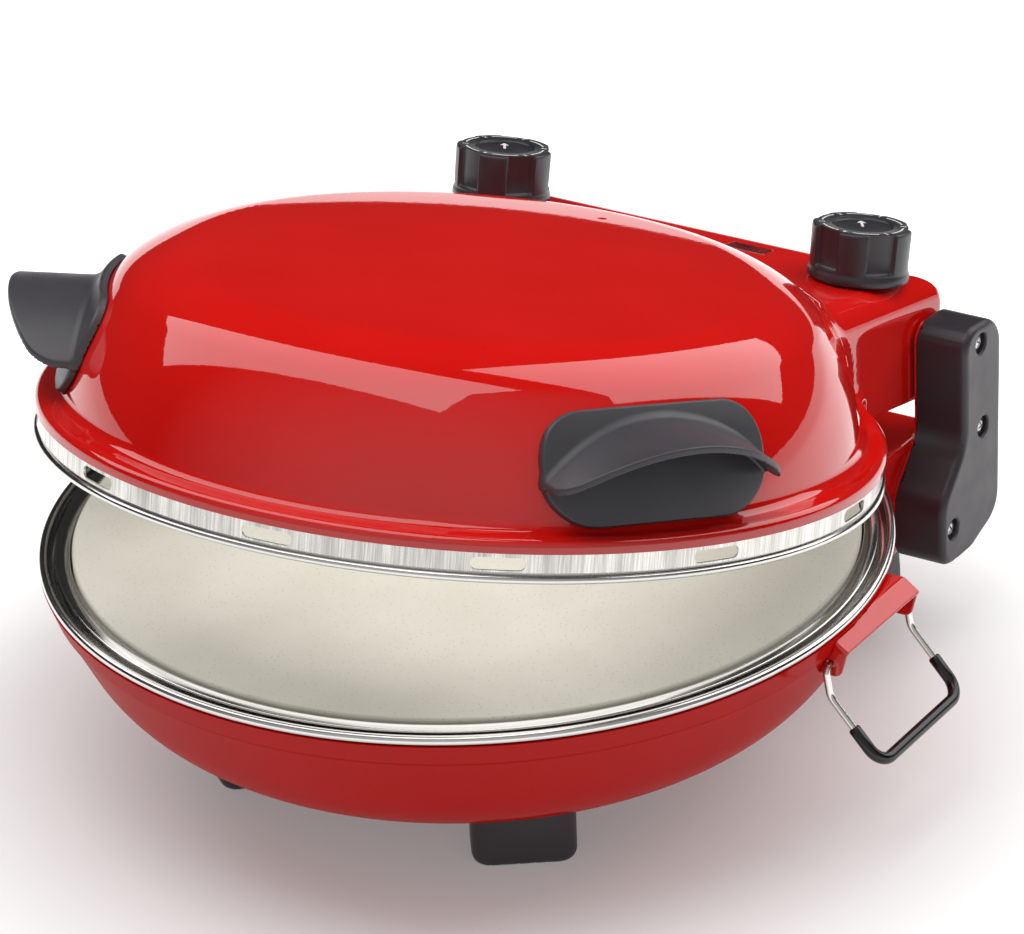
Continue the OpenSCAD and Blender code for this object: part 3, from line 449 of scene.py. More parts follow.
# ---- knobs ----
KNOB_X, KNOB_Y, KNOB_R, KNOB_H = 88.0, 163.0, 21.3, 22.6
KNOB_FOOT = ROOF_H + 0.8


def knob(side, name, mat):
    """A knob's body as rings of points: a flared foot, recessed panels between raised grips, and a sunk top."""
    around, panels = 300, 5
    foot = [(0.0, 0.9, 0), (0.25, 0.35, 0), (0.9, 0, 0), (2.6, 0, 0), (3.6, 0.25, 0), (4.3, 0.6, 0), (4.8, 0.7, 0),
            (5.3, 0.7, 0), (6.0, 0.65, 0.75), (6.8, 0.6, 1.0), (12, 0.5, 1.0)]
    crest = [(1.6, 0.4, 1.0), (0.9, 0.45, 0.92), (0.35, 0.7, 0.8), (0.05, 1.2, 0.5), (0, 2.0, 0.2)]
    well = [(0, 13.5), (0.2, 13.1), (1.0, 12.8), (1.25, 12.4), (1.3, 11.4)]
    rings = [(h, KNOB_R - inset, depth) for h, inset, depth in foot]
    rings += [(KNOB_H - down, KNOB_R - inset, depth) for down, inset, depth in crest]
    rings += [(KNOB_H - down, r, 0) for down, r in well]
    angle = np.arange(around) * 2 * math.pi / around
    gap = np.abs((angle * panels / (2 * math.pi)) % 1.0 - 0.5) * 2
    panel = np.clip((0.52 - gap) / 0.07, 0, 1)
    panel = 1.9 * panel * panel * (3 - 2 * panel)
    points = np.array([np.stack([(r - depth * panel) * np.cos(angle), (r - depth * panel) * np.sin(angle),
                                 np.full(around, KNOB_FOOT + h)], -1) for h, r, depth in rings])
    piece("knob_%s_body" % name, points.reshape(-1, 3) + (side * KNOB_X, KNOB_Y, 0), stack(len(rings), around),
          "knob_%s_set" % name, mat, ["knob_" + name], smooth=40)


# ---- wires ----
def bent(points, bends, steps=10):
    """A wire's middle line through the given places, each corner bent to its radius."""
    points = [np.array(p, float) for p in points]
    line = []
    for i, (p, r) in enumerate(zip(points, bends)):
        if r == 0:
            line.append(p)
            continue
        centre, a, b = corner(points[i - 1], p, points[i + 1], r)
        angle = math.acos(np.clip(a @ b / (r * r), -1, 1))
        for t in np.linspace(0, 1, steps + 1):
            line.append(centre + (a * math.sin((1 - t) * angle) + b * math.sin(t * angle)) / math.sin(angle))
    return np.array(line)


def tube(line, radii, sides=20):
    """A closed tube along a line. radii is one radius, or one for each point."""
    line = np.asarray(line, float)
    radii = np.broadcast_to(radii, len(line))
    along = np.gradient(line, axis=0)
    along /= np.linalg.norm(along, axis=1, keepdims=True)
    side = np.cross(along[0], (0.3, 0.5, 0.8))
    points = []
    angle = np.arange(sides) * 2 * math.pi / sides
    for p, t, r in zip(line, along, radii):
        side = side - t * (side @ t)
        side /= np.linalg.norm(side)
        other = np.cross(t, side)
        points.append(p + r * (np.outer(np.cos(angle), side) + np.outer(np.sin(angle), other)))
    return np.array(points).reshape(-1, 3), stack(len(line), sides)


WIRE_R, SLEEVE_R, WIRE_BEND = 1.5, 2.5, 8.0
PIVOT_X, PIVOT_H = PAN_R - 3.4, -17.0
WIRE_Y, WIRE_W = 26.0, 66.0


def wire_handle(side, name, wire_mat, sleeve_mat):
    """A bent wire whose ends turn in the bracket's ears, with a sleeve over its grip."""
    half = WIRE_W / 2
    leg = [(0, half - 7, 0), (0, half, 0), (2, half, -12), (24.5, half, -36.5)]
    corners = [(side * (PIVOT_X + x), WIRE_Y - y, PIVOT_H + z) for x, y, z in leg]
    corners += [(side * (PIVOT_X + x), WIRE_Y + y, PIVOT_H + z) for x, y, z in reversed(leg)]
    line = bent(corners, [0, 3, WIRE_BEND, WIRE_BEND, WIRE_BEND, WIRE_BEND, 3, 0])
    points, faces = tube(line, WIRE_R)
    piece("wire_%s_rod" % name, points, faces, "wire_" + name, wire_mat, ["wire_handle_" + name], smooth=50)
    upper, front, back, other = np.array(corners)[2:6]
    a, b = (p + unit(q - p) * (WIRE_BEND + 10) for p, q in ((front, upper), (back, other)))
    line = bent([a, front, back, b], [0, WIRE_BEND, WIRE_BEND, 0], 14)
    head, tail = unit(line[1] - line[0]), unit(line[-2] - line[-1])
    line = np.concatenate([[line[0], line[0] + head * 0.25, line[0] + head * 0.6], line[1:-1],
                           [line[-1] + tail * 0.6, line[-1] + tail * 0.25, line[-1]]])
    radii = np.full(len(line), SLEEVE_R)
    radii[[0, -1]] = WIRE_R + 0.3
    radii[[1, -2]] = SLEEVE_R - 0.3
    points, faces = tube(line, radii, 28)
    piece("wire_%s_sleeve" % name, points, faces, "wire_" + name, sleeve_mat, ["wire_grip_" + name], smooth=50)


# ---- turned pieces of the base and the lid ----
def turned_piece(name, outline, body, mat, replaces=(), slot=None):
    """A piece spun about the bowl's axis, or the lid's."""
    piece(name, *turned(outline), body, mat, replaces, slot=slot)


def circle_arc(centre, r, start, end, steps):
    """Points along an arc between two angles in degrees."""
    angle = np.radians(np.linspace(start, end, steps + 1))
    return [(centre[0] + r * math.cos(a), centre[1] + r * math.sin(a)) for a in angle]


def bowl(mat):
    """The pressed bowl: a short upright rim, a shoulder and a deep round belly."""
    outer = rounded([(173.4, -4.1, 0), (170.2, -13.1, 1.5), (168.7, -14.6, 1.5), (142.2, -69, 64), (0, -69, 0)],
                    24, False)
    inner = rounded([(0, -67.8, 0), (141.4, -67.8, 62.8), (167.5, -14.6, 2.0), (169.0, -13.1, 1.0),
                     (172.2, -4.1, 0)], 16, False)
    turned_piece("bowl_skin", np.concatenate([outer, inner])[::-1], "base", mat, ["base_bowl"])


def pan(mat):
    """The reflector pan: a rolled rim, a channel, the stone's ledge and a flat floor under the heater."""
    roll = circle_arc((PAN_R - ROLL_R, -ROLL_R), ROLL_R, -40, 190, 18)
    top = rounded([(169.75, -2.8, 0), (169.6, -7.0, 0.8), (167.4, -7.0, 0.8), (167.0, -0.7, 0.8), (163.6, 0.0, 6),
                   (160.8, -0.7, 0.6), (160.6, -10.3, 1.0), (153.6, -10.3, 1.0), (144.7, -36, 4), (0, -36, 0)],
                  6, False)
    under = rounded([(0, -36.9, 0), (145.5, -36.9, 4.5), (154.3, -11.2, 1.5), (161.5, -11.2, 0.8),
                     (161.5, -2.4, 1.0), (166.1, -2.4, 0.5), (166.5, -7.9, 1.0), (170.4, -7.9, 1.0),
                     (170.5, -4.0, 0.5)], 6, False)
    turned_piece("pan_skin", np.concatenate([roll, top, under])[::-1], "base", mat, ["reflector_pan"])


def stone(mat):
    """The baking stone: a ground disc with its edges eased."""
    outline = rounded([(STONE_R, -10.3, 0.8), (STONE_R, 0.7, 1.2), (0, 0.7, 0), (0, -10.3, 0)], 6)
    turned_piece("stone_disc", outline, "base", mat, ["baking_stone"])


def band_tile(width):
    """One stretch of the lid's vented band, laid out in millimetres: u along the band, v up it, with its slot open."""
    low, middle, high = 4.3, 7.6, 13.5
    half_slot, half_height = 10.5, 2.5
    ends = half_slot - half_height
    turn = np.linspace(0, math.pi / 2, 9)
    slot_u = np.concatenate([-ends - half_height * np.cos(turn), np.linspace(-ends, ends, 7)[1:-1],
                             ends + half_height * np.sin(turn)])
    slot_s = np.concatenate([half_height * np.sin(turn), np.full(5, half_height), half_height * np.cos(turn)])
    slot_s[[0, -1]] = 0
    side = np.linspace(-width / 2, -half_slot, 12)[:-1]
    u = np.concatenate([side, slot_u, -side[::-1]])
    s = np.concatenate([np.zeros(len(side)), slot_s, np.zeros(len(side))])
    points, faces = [], []
    for sign, edge in ((-1, low), (1, high)):
        start = len(points)
        for t in (0.0, 0.5, 1.0):
            points += [(a, edge * (1 - t) + (middle + sign * b) * t, 0) for a, b in zip(u, s)]
        faces += [*np.roll(net(3, len(u), False)[:, ::sign], -sign, axis=1) + start]
    return np.array(points), faces


def group_input(tree, name, kind, value=None):
    """One named input of a tree."""
    socket = tree.interface.new_socket(name, in_out="INPUT", socket_type=kind)
    if value is not None:
        socket.default_value = value
    return socket


def geometry_tree(name, inputs):
    """An empty geometry tree with named inputs: the tree, the outputs of its input node, and the sockets."""
    tree = bpy.data.node_groups.new(name, "GeometryNodeTree")
    sockets = {"Geometry": group_input(tree, "Geometry", "NodeSocketGeometry")}
    for label, kind, value in inputs:
        sockets[label] = group_input(tree, label, kind, value)
    tree.interface.new_socket("Geometry", in_out="OUTPUT", socket_type="NodeSocketGeometry")
    return tree, tree.nodes.new("NodeGroupInput").outputs, sockets


def give_out(tree, geometry, mat):
    """Gives a tree's geometry its material and sends it out."""
    finish = add(tree, "GeometryNodeSetMaterial", [("Geometry", geometry)], Material=mat)
    tree.links.new(finish.outputs[0], tree.nodes.new("NodeGroupOutput").inputs[0])


def plain(obj):
    """The points and faces that an object comes to once its modifiers have run. The object then goes."""
    bpy.context.view_layer.update()
    made = bpy.data.meshes.new_from_object(obj.evaluated_get(bpy.context.evaluated_depsgraph_get()))
    bpy.data.objects.remove(obj)
    return np.array([v.co for v in made.vertices]), [tuple(f.vertices) for f in made.polygons]


def run_tree(mesh, tree, values):
    """The points and faces that a geometry tree makes of a mesh. Values pairs its sockets with what they get."""
    obj = linked("work", mesh)
    mod = obj.modifiers.new("work", "NODES")
    mod.node_group = tree
    for socket, value in values:
        mod[socket.identifier] = value
    return plain(obj)


def around_tree(mat):
    """Copies its mesh evenly around the vertical axis and welds the copies."""
    tree, given, sockets = geometry_tree("copies_around_axis", [
        ("Count", "NodeSocketInt", 12), ("Start Angle", "NodeSocketFloat", 0.0)])
    line = add(tree, "GeometryNodeMeshLine", [("Count", given["Count"]), ("Offset", (0, 0, 0))])
    index = add(tree, "GeometryNodeInputIndex")
    step = maths(tree, "DIVIDE", 2 * math.pi, given["Count"])
    angle = maths(tree, "MULTIPLY_ADD", index.outputs[0], step, given["Start Angle"])
    turn = add(tree, "ShaderNodeCombineXYZ", [("Z", angle)])
    copies = add(tree, "GeometryNodeInstanceOnPoints", [
        ("Points", line.outputs[0]), ("Instance", given["Geometry"]), ("Rotation", turn.outputs[0])])
    real = add(tree, "GeometryNodeRealizeInstances", [("Geometry", copies.outputs[0])])
    weld = add(tree, "GeometryNodeMergeByDistance", [("Geometry", real.outputs[0])], Distance=0.02)
    give_out(tree, weld.outputs[0], mat)
    return tree, sockets


def thicken(points, faces, thickness):
    """A sheet given its thickness, inwards, with closed rims: points and faces."""
    obj = linked("sheet", mesh_of("sheet", points, faces))
    mod = obj.modifiers.new("thickness", "SOLIDIFY")
    mod.thickness = thickness
    mod.offset = -1
    return plain(obj)


def lid_liner(band_mat, mat):
    """The lid's lower edge and inside: the vented band, the bead under it and the inner dome."""
    vents = 12
    flat, faces = band_tile(2 * math.pi * BAND_R / vents)
    angle = flat[:, 0] / BAND_R
    tile = mesh_of("band_tile", np.stack([BAND_R * np.cos(angle), BAND_R * np.sin(angle), flat[:, 1]], -1), faces)
    tree, sockets = around_tree(band_mat)
    points, faces = run_tree(tile, tree, [(sockets["Count"], vents), (sockets["Start Angle"], math.radians(7.2))])
    points, faces = thicken(points, faces, 0.9)
    piece("lid_vent_band", points, faces, "lid", band_mat, ["lid_liner"])
    bead = circle_arc((LID_R - 1.4, 1.65), 1.6, -150, 75, 18)
    groove = rounded([(169.0, 3.6, 0), (168.9, 4.0, 0.3), (169.95, 4.35, 0), (168.9, 4.8, 0), (168.0, 3.0, 1.0),
                      (168.1, 1.2, 0)], 4, False)
    turned_piece("lid_bead", np.concatenate([bead, groove]), "lid", mat)
    inside = [(169.0, 13.4, 0), (153.9, 14.5, 3), (131.9, 46, 6), (0, 46, 0), (0, 45.1, 0), (131.4, 45.1, 6),
              (153.3, 13.6, 3), (169.0, 12.2, 0)]
    turned_piece("lid_inner_dome", rounded(inside, 8), "lid", mat, slot="brushed_steel")


# ---- base housing ----
def bowl_field(p, grow=0.0):
    """The bowl as a solid, grown by a little."""
    shape = outline_field([(-300, 60, 0), (-300, -69, 0), (142.2, -69, 64), (168.7, -14.6, 1.5), (170.2, -13.1, 1.5),
                           (173.4, -4.1, 0), (173.4, 60, 0)], 14)
    return shape(np.hypot(p[:, 0], p[:, 1]), p[:, 2]) - grow


HOUSING_X, HOUSING_Y, HOUSING_TOP, HOUSING_LOW = 112.5, 202.0, -10.0, -58.0
GLAND_H = (HOUSING_TOP + HOUSING_LOW) / 2


def base_housing(mat):
    """The rear housing: a rounded box, cut to fit round the bowl."""

    def field(p):
        half = (HOUSING_TOP - HOUSING_LOW) / 2
        block = rounded_box(p[:, 1] - (HOUSING_Y - 80), p[:, 2] - GLAND_H, 80, half, 12.0)
        block = both(np.abs(p[:, 0]) - HOUSING_X, block, 3.0)
        return both(block, -bowl_field(p, 0.1), 0.2)

    formed("base_housing_box", field, (-116, 60, -62), (116, 206, -6), 2.0, "base", mat, ["base_housing"])


# ---- feet ----
FRONT_FOOT = 98 * np.array((math.cos(math.radians(46)), -math.sin(math.radians(46))))
FRONT_FOOT_TURN = math.radians(36)
REAR_FOOT_X, REAR_FOOT_Y = 79, 177
FOOT_WELL = 9.0


def foot_block(u, v, h):
    """A foot's rounded block, narrowed at its sole."""
    return rounded_box(u, v, 21, 14, 8.0) + np.clip(3 - h, 0, 3) * 0.35


def drilled(block, u, v, h):
    """A foot with the well for its screw."""
    return both(block, -both(np.hypot(u, v) - 5.0, h - FOOT_WELL, 0.3), 0.5)


def front_foot(side, name, mat):
    """A front foot, which meets the bowl's curve, its long side turned outwards."""

    def field(p):
        u, v = spun(p[:, :2] * (side, 1) - FRONT_FOOT, -FRONT_FOOT_TURN).T
        h = p[:, 2] - FLOOR
        block = both(both(foot_block(u, v, h), -h, 1.4), h - 62, 1.0)
        return drilled(both(block, -bowl_field(p, 0.1), 0.3), u, v, h)

    x = side * FRONT_FOOT[0]
    formed("front_foot_%s_block" % name, field, (x - 26, -98, FLOOR - 1), (x + 26, -42, -30), 1.3, "base", mat,
           ["front_foot_" + name])


def rear_foot(side, name, mat):
    """A rear foot, under the housing, its back leaning in."""

    def field(p):
        h = p[:, 2] - FLOOR
        u, v = p[:, 0] * side - REAR_FOOT_X, p[:, 1] - REAR_FOOT_Y
        block = both(foot_block(u, v, h), v - 14 + 8 * h / 37, 3.0)
        return drilled(both(both(block, -h, 1.4), h - 36.9, 0.3), u, v + 4, h)

    x = side * REAR_FOOT_X
    formed("rear_foot_%s_block" % name, field, (x - 23, REAR_FOOT_Y - 17, FLOOR - 1),
           (x + 23, REAR_FOOT_Y + 16, -56), 1.3, "base", mat, ["rear_foot_" + name])


# ---- brackets and gland ----
def bracket(side, name, mat):
    """A wire handle's bracket: a sheet that slopes down from the rim, with an ear bent down at each end."""
    half = WIRE_W / 2 - WIRE_R - 2
    thick = 1.5
    line = rounded([(PIVOT_X - 20, -7.35, 0), (PIVOT_X + 0.8, -5.95, 3), (PIVOT_X + 7.2, -10.3, 0)], 6, False)
    ear = outline_field([(PIVOT_X - 20, -7.6, 0), (PIVOT_X + 1, -6.2, 2), (PIVOT_X + 7.4, -10.7, 1.5),
                         (PIVOT_X + 4.5, PIVOT_H - 5, 4), (PIVOT_X - 8, PIVOT_H - 5, 4)])

    def field(p):
        x, y, h = p[:, 0] * side, np.abs(p[:, 1] - WIRE_Y), p[:, 2]
        top = both(from_line(line, x, h) - thick / 2, y - half, 0.7)
        plate = both(ear(x, h), np.abs(y - half + thick / 2) - thick / 2, 0.4)
        hole = np.hypot(x - PIVOT_X, h - PIVOT_H) - WIRE_R - 0.3
        whole = either(top, both(plate, -hole, 0.2), 1.2)
        rim = both(np.hypot(p[:, 0], p[:, 1]) - PAN_R - 0.3, -4.3 - h, 0.1)
        return both(both(whole, -bowl_field(p, 0.05), 0.1), -rim, 0.1)

    a, b = sorted((side * (PIVOT_X - 10), side * (PIVOT_X + 10)))
    formed("handle_bracket_%s_sheet" % name, field, (a, WIRE_Y - 32, -24), (b, WIRE_Y + 32, -3), 0.5, "base", mat,
           ["handle_bracket_" + name])


def gland(mat):
    """The moulded inlet gland on the rear wall, spun about its own axis."""
    r = 3.6
    outline = rounded([(r, -8, 0.3), (r, 3.0, 0.6), (5.2, 3.0, 0.4), (5.6, 2.5, 0.2), (9.4, 2.5, 0.6), (10, 0.1, 0.2),
                       (6.95, 0.1, 0), (6.95, -8, 0.4)], 4)
    points, faces = turned(outline, 96)
    points = np.stack([points[:, 0], points[:, 2] + HOUSING_Y, GLAND_H - points[:, 1]], -1)
    piece("inlet_gland", points, faces, "base", mat, ["cable_gland"])


# ---- small fasteners ----
def screws_tree(mat):
    """Sets a cross-slotted domed screw head on each point, along the point's aim and turned by its spin."""
    tree, given, sockets = geometry_tree("screw_heads", [
        ("Head Radius", "NodeSocketFloat", 3.4), ("Head Height", "NodeSocketFloat", 1.7),
        ("Slot Width", "NodeSocketFloat", 0.8)])
    radius, height, width = given["Head Radius"], given["Head Height"], given["Slot Width"]
    ball = add(tree, "GeometryNodeMeshUVSphere", Segments=32, Rings=16, Radius=1.0)
    size = add(tree, "ShaderNodeCombineXYZ", [("X", radius), ("Y", radius), ("Z", height)])
    head = add(tree, "GeometryNodeTransform", [("Geometry", ball.outputs["Mesh"]), ("Scale", size.outputs[0])])
    length = maths(tree, "MULTIPLY", radius, 1.15)
    lift = add(tree, "ShaderNodeCombineXYZ", [("Z", height)])
    cut = head.outputs["Geometry"]
    for x, y in ((length, width), (width, length)):
        box = add(tree, "ShaderNodeCombineXYZ", [("X", x), ("Y", y), ("Z", height)])
        bar = add(tree, "GeometryNodeMeshCube", [("Size", box.outputs[0])])
        bar = add(tree, "GeometryNodeTransform", [("Geometry", bar.outputs["Mesh"]), ("Translation", lift.outputs[0])])
        cut = add(tree, "GeometryNodeMeshBoolean", [("Mesh 1", cut), ("Mesh 2", bar.outputs["Geometry"])],
                  operation="DIFFERENCE").outputs["Mesh"]
    aim = add(tree, "GeometryNodeInputNamedAttribute", data_type="FLOAT_VECTOR", Name="aim")
    spin = add(tree, "GeometryNodeInputNamedAttribute", data_type="FLOAT", Name="spin")
    toward = add(tree, "FunctionNodeAlignRotationToVector", [("Vector", aim.outputs["Attribute"])], axis="Z")
    turn = add(tree, "ShaderNodeCombineXYZ", [("Z", spin.outputs["Attribute"])])
    both_turns = add(tree, "FunctionNodeRotateRotation", [
        ("Rotation", toward.outputs[0]), ("Rotate By", turn.outputs[0])], rotation_space="LOCAL")
    points = add(tree, "GeometryNodeMeshToPoints", [("Mesh", given["Geometry"])])
    heads = add(tree, "GeometryNodeInstanceOnPoints", [
        ("Points", points.outputs[0]), ("Instance", cut), ("Rotation", both_turns.outputs[0])])
    real = add(tree, "GeometryNodeRealizeInstances", [("Geometry", heads.outputs[0])])
    give_out(tree, real.outputs[0], mat)
    return tree, sockets


def screw_heads(name, places, aims, spins, sizes, mat, replaces):
    """Screw heads of one size as one piece. Sizes are the head's radius and height and its slot's width."""
    mesh = mesh_of("screw_places", places)
    mesh.attributes.new("aim", "FLOAT_VECTOR", "POINT").data.foreach_set("vector", np.array(aims, float).ravel())
    mesh.attributes.new("spin", "FLOAT", "POINT").data.foreach_set("value", spins)
    tree, sockets = screws_tree(mat)
    values = [(sockets[k], v) for k, v in zip(("Head Radius", "Head Height", "Slot Width"), sizes)]
    piece(name, *run_tree(mesh, tree, values), "base", mat, replaces, smooth=35)


def screws(mat):
    """The screws of the arms' covers and of the feet."""
    places = [(s * (ARM_OUT - 2.6), y, z) for s, _ in SIDES for y, z in ARM_SCREWS]
    aims = [(s, 0, 0) for s, _ in SIDES for _ in ARM_SCREWS]
    screw_heads("arm_screw_heads", places, aims, [0.3, 1.1, 0.7, 0.9, 0.2, 0.6], (3.3, 1.6, 0.7), mat, ["arm_screws"])
    h = FLOOR + FOOT_WELL - 0.2
    places = [(s * FRONT_FOOT[0], FRONT_FOOT[1], h) for s, _ in SIDES]
    places += [(s * REAR_FOOT_X, REAR_FOOT_Y - 4, h) for s, _ in SIDES]
    screw_heads("foot_screw_heads", places, [(0, 0, -1)] * 4, [0.2, 0.9, 0.5, 1.2], (3.9, 2.0, 0.9), mat,
                ["foot_screws"])


# ---- controls ----
def on_knob(points, side):
    """Places drawn about the middle of a knob's top."""
    return np.array(points, float) + (side * KNOB_X, KNOB_Y, KNOB_FOOT + KNOB_H)


def flat_prism(outline, low, high):
    """A thin upright prism over an outline of (x, y) points: points and faces."""
    n = len(outline)
    points = [(x, y, low) for x, y in outline] + [(x, y, high) for x, y in outline]
    faces = [range(n)[::-1], range(n, 2 * n)]
    faces += [(i, (i + 1) % n, (i + 1) % n + n, i + n) for i in range(n)]
    return points, faces


def knob_marks(side, name, mat):
    """The printed scale round a knob's top: six arcs and numbers, and a pointer on its disc."""
    arc_out, arc_in, digit_r, ink = 17.3, 16.6, 16.9, 0.06
    points, faces = [], []

    def put(more, less):
        start = len(points)
        points.extend(more)
        faces.extend([[i + start for i in f] for f in less])

    for k in range(6):
        sweep = np.radians(np.linspace(-19, 19, 13)) + math.radians(60 * k + 30)
        ring = [(arc_out * math.cos(a), arc_out * math.sin(a)) for a in sweep]
        ring += [(arc_in * math.cos(a), arc_in * math.sin(a)) for a in sweep[::-1]]
        put(*flat_prism(ring, -0.05, ink))
        data = bpy.data.curves.new("digit", "FONT")
        data.body = str(k)
        data.size = 3.6
        data.align_x, data.align_y = "CENTER", "CENTER"
        data.resolution_u = 2
        data.offset = 0.06
        shape, outline = plain(linked("digit", data))
        at = math.radians(60 * k)
        shape = spun(shape, at - math.pi / 2) + (digit_r * math.cos(at), digit_r * math.sin(at))
        put([(x, y, ink) for x, y in shape], outline)
    put(*flat_prism([(-0.55, -1.5), (0.55, -1.5), (0.55, 5.0), (1.9, 5.0), (0, 8.4), (-1.9, 5.0), (-0.55, 5.0)],
                    -1.35, -0.72))
    points = np.array(points)
    points[:, :2] = spun(points, math.radians(33))
    piece("knob_%s_marks" % name, on_knob(points, side), faces, "knob_%s_set" % name, mat)


def knob_disc(side, name, mat):
    """The turned disc that closes a knob's top."""
    outline = rounded([(12.4, -1.9, 0), (12.4, -0.8, 0.3), (11.8, -0.8, 0.3), (11.4, -1.05, 0.3), (0, -0.8, 0),
                       (0, -1.9, 0)], 4)
    points, faces = turned(outline, 120)
    piece("knob_%s_disc" % name, on_knob(points, side), faces, "knob_%s_set" % name, mat, ["knob_cap_" + name])


def lens(side, name, mat):
    """A pilot lamp's window in the housing's roof."""
    lens_x, lens_y = side * 31, 171

    def field(p):
        x, y, h = p[:, 0] - lens_x, p[:, 1] - lens_y, p[:, 2] - ROOF_H
        return both(both(rounded_box(x, y, 9.9, 4.9, 1.2), h - 0.45, 0.5), -1.2 - h, 0.1)

    formed("pilot_lens_%s_window" % name, field, (lens_x - 11, lens_y - 6, ROOF_H - 2.5),
           (lens_x + 11, lens_y + 6, ROOF_H + 2), 0.5, "lid", mat, ["pilot_lens_" + name])


def upper_heater(mat):
    """The lid's heating tube: an open loop whose legs run back into the housing."""
    loop, gap, h, end = 100.0, 14.0, 30.0, 156.0
    start = math.asin(gap / loop)
    angle = np.linspace(math.pi / 2 + start, math.pi / 2 + 2 * math.pi - start, 140)
    ring = [(loop * math.cos(a), loop * math.sin(a), h) for a in angle]
    y0 = loop * math.cos(start)
    line = [(-gap, end, h), (-gap, y0 + 12, h)] + ring[3:-3] + [(gap, y0 + 12, h), (gap, end, h)]
    points, faces = tube(bent(line, [0, 9] + [0] * len(ring[3:-3]) + [9, 0]), 3.2, 24)
    piece("upper_heater_tube", points, faces, "lid", mat, ["upper_element"])


# ---- materials ----
def srgb(code):
    """A hex colour as linear RGBA."""
    parts = [int(code[i:i + 2], 16) / 255 for i in (1, 3, 5)]
    return tuple(c / 12.92 if c <= 0.04045 else ((c + 0.055) / 1.055) ** 2.4 for c in parts) + (1.0,)


def add(tree, kind, links=(), **settings):
    """Adds a node. Settings name its properties or inputs; links pairs an input with an output or a value."""
    node = tree.nodes.new(kind)
    for name, value in settings.items():
        if hasattr(node, name):
            setattr(node, name, value)
        else:
            node.inputs[name.replace("_", " ")].default_value = value
    for name, output in links:
        if isinstance(output, bpy.types.NodeSocket):
            tree.links.new(output, node.inputs[name])
        else:
            node.inputs[name].default_value = output
    return node


def maths(tree, operation, *values):
    """The result of a sum on values and outputs."""
    return add(tree, "ShaderNodeMath", enumerate(values), operation=operation).outputs[0]


def noise(tree, where, size, detail):
    """Soft noise of the given size in millimetres."""
    return add(tree, "ShaderNodeTexNoise", [("Vector", where)], Scale=1 / (size * MM), Detail=detail).outputs["Fac"]


def ranged(tree, value, low, high, to_low=0.0, to_high=1.0, **settings):
    """A value carried from one range to another."""
    return add(tree, "ShaderNodeMapRange", [("Value", value), ("From Min", low), ("From Max", high),
                                            ("To Min", to_low), ("To Max", to_high)], **settings).outputs["Result"]


def toned(tree, value, dark, light):
    """A colour between two, by a noise."""
    ramp = add(tree, "ShaderNodeValToRGB", [("Fac", value)])
    for stop, place, code in zip(ramp.color_ramp.elements, (0.3, 0.7), (dark, light)):
        stop.position, stop.color = place, srgb(code)
    return ramp.outputs["Color"]


def material(name, colour, roughness, metallic=0.0, **sockets):
    """A Principled material: itself, its tree, its shader and its Object coordinates."""
    mat = bpy.data.materials.new(name)
    mat.use_nodes = True
    tree = mat.node_tree
    shader = tree.nodes["Principled BSDF"]
    shader.inputs["Base Color"].default_value = srgb(colour)
    shader.inputs["Roughness"].default_value = roughness
    shader.inputs["Metallic"].default_value = metallic
    for socket, value in sockets.items():
        shader.inputs[socket.replace("_", " ")].default_value = value
    where = tree.nodes.new("ShaderNodeTexCoord").outputs["Object"]
    return mat, tree, shader, where


def varied(tree, shader, where, socket, size, low, high, detail=3.0):
    """Spreads a socket between two values or colours in soft patches of the given size in millimetres."""
    value = noise(tree, where, size, detail)
    spread = toned(tree, value, low, high) if isinstance(low, str) else ranged(tree, value, 0.3, 0.7, low, high)
    tree.links.new(spread, shader.inputs[socket])


def raised(tree, shader, height, depth, strength=1.0, socket="Normal"):
    """Bump of the given depth in millimetres from a height."""
    bump = add(tree, "ShaderNodeBump", [("Height", height)], Strength=strength, Distance=depth * MM)
    tree.links.new(bump.outputs["Normal"], shader.inputs[socket])


def red_enamel(name, gloss, blur):
    """Spray enamel on pressed steel: deep even red under a clear gloss, with a faint orange peel in its reflections."""
    mat, tree, shader, where = material(name, "#DC1510", 0.45, Coat_Weight=gloss, Coat_Roughness=blur, Coat_IOR=1.62,
                                        Specular_IOR_Level=0.0)
    varied(tree, shader, where, "Base Color", 60, "#DA140F", "#E01812", detail=1.0)
    raised(tree, shader, noise(tree, where, 2.6, 1.0), 0.02, 0.35, "Coat Normal")
    return mat


def about_axis(tree, where, place, tilt, r):
    """Coordinates that follow a surface turned about an axis: along its round, up its height, and from its axis."""
    spot = add(tree, "ShaderNodeMapping", [("Vector", where), ("Location", place), ("Rotation", (tilt, 0, 0))],
               vector_type="TEXTURE")
    part = add(tree, "ShaderNodeSeparateXYZ", [("Vector", spot.outputs[0])]).outputs
    along = maths(tree, "MULTIPLY", maths(tree, "ARCTAN2", part["Y"], part["X"]), r * MM)
    flat = add(tree, "ShaderNodeCombineXYZ", [("X", part["X"]), ("Y", part["Y"])])
    away = add(tree, "ShaderNodeVectorMath", [(0, flat.outputs[0])], operation="LENGTH")
    return along, part["Z"], away.outputs["Value"]


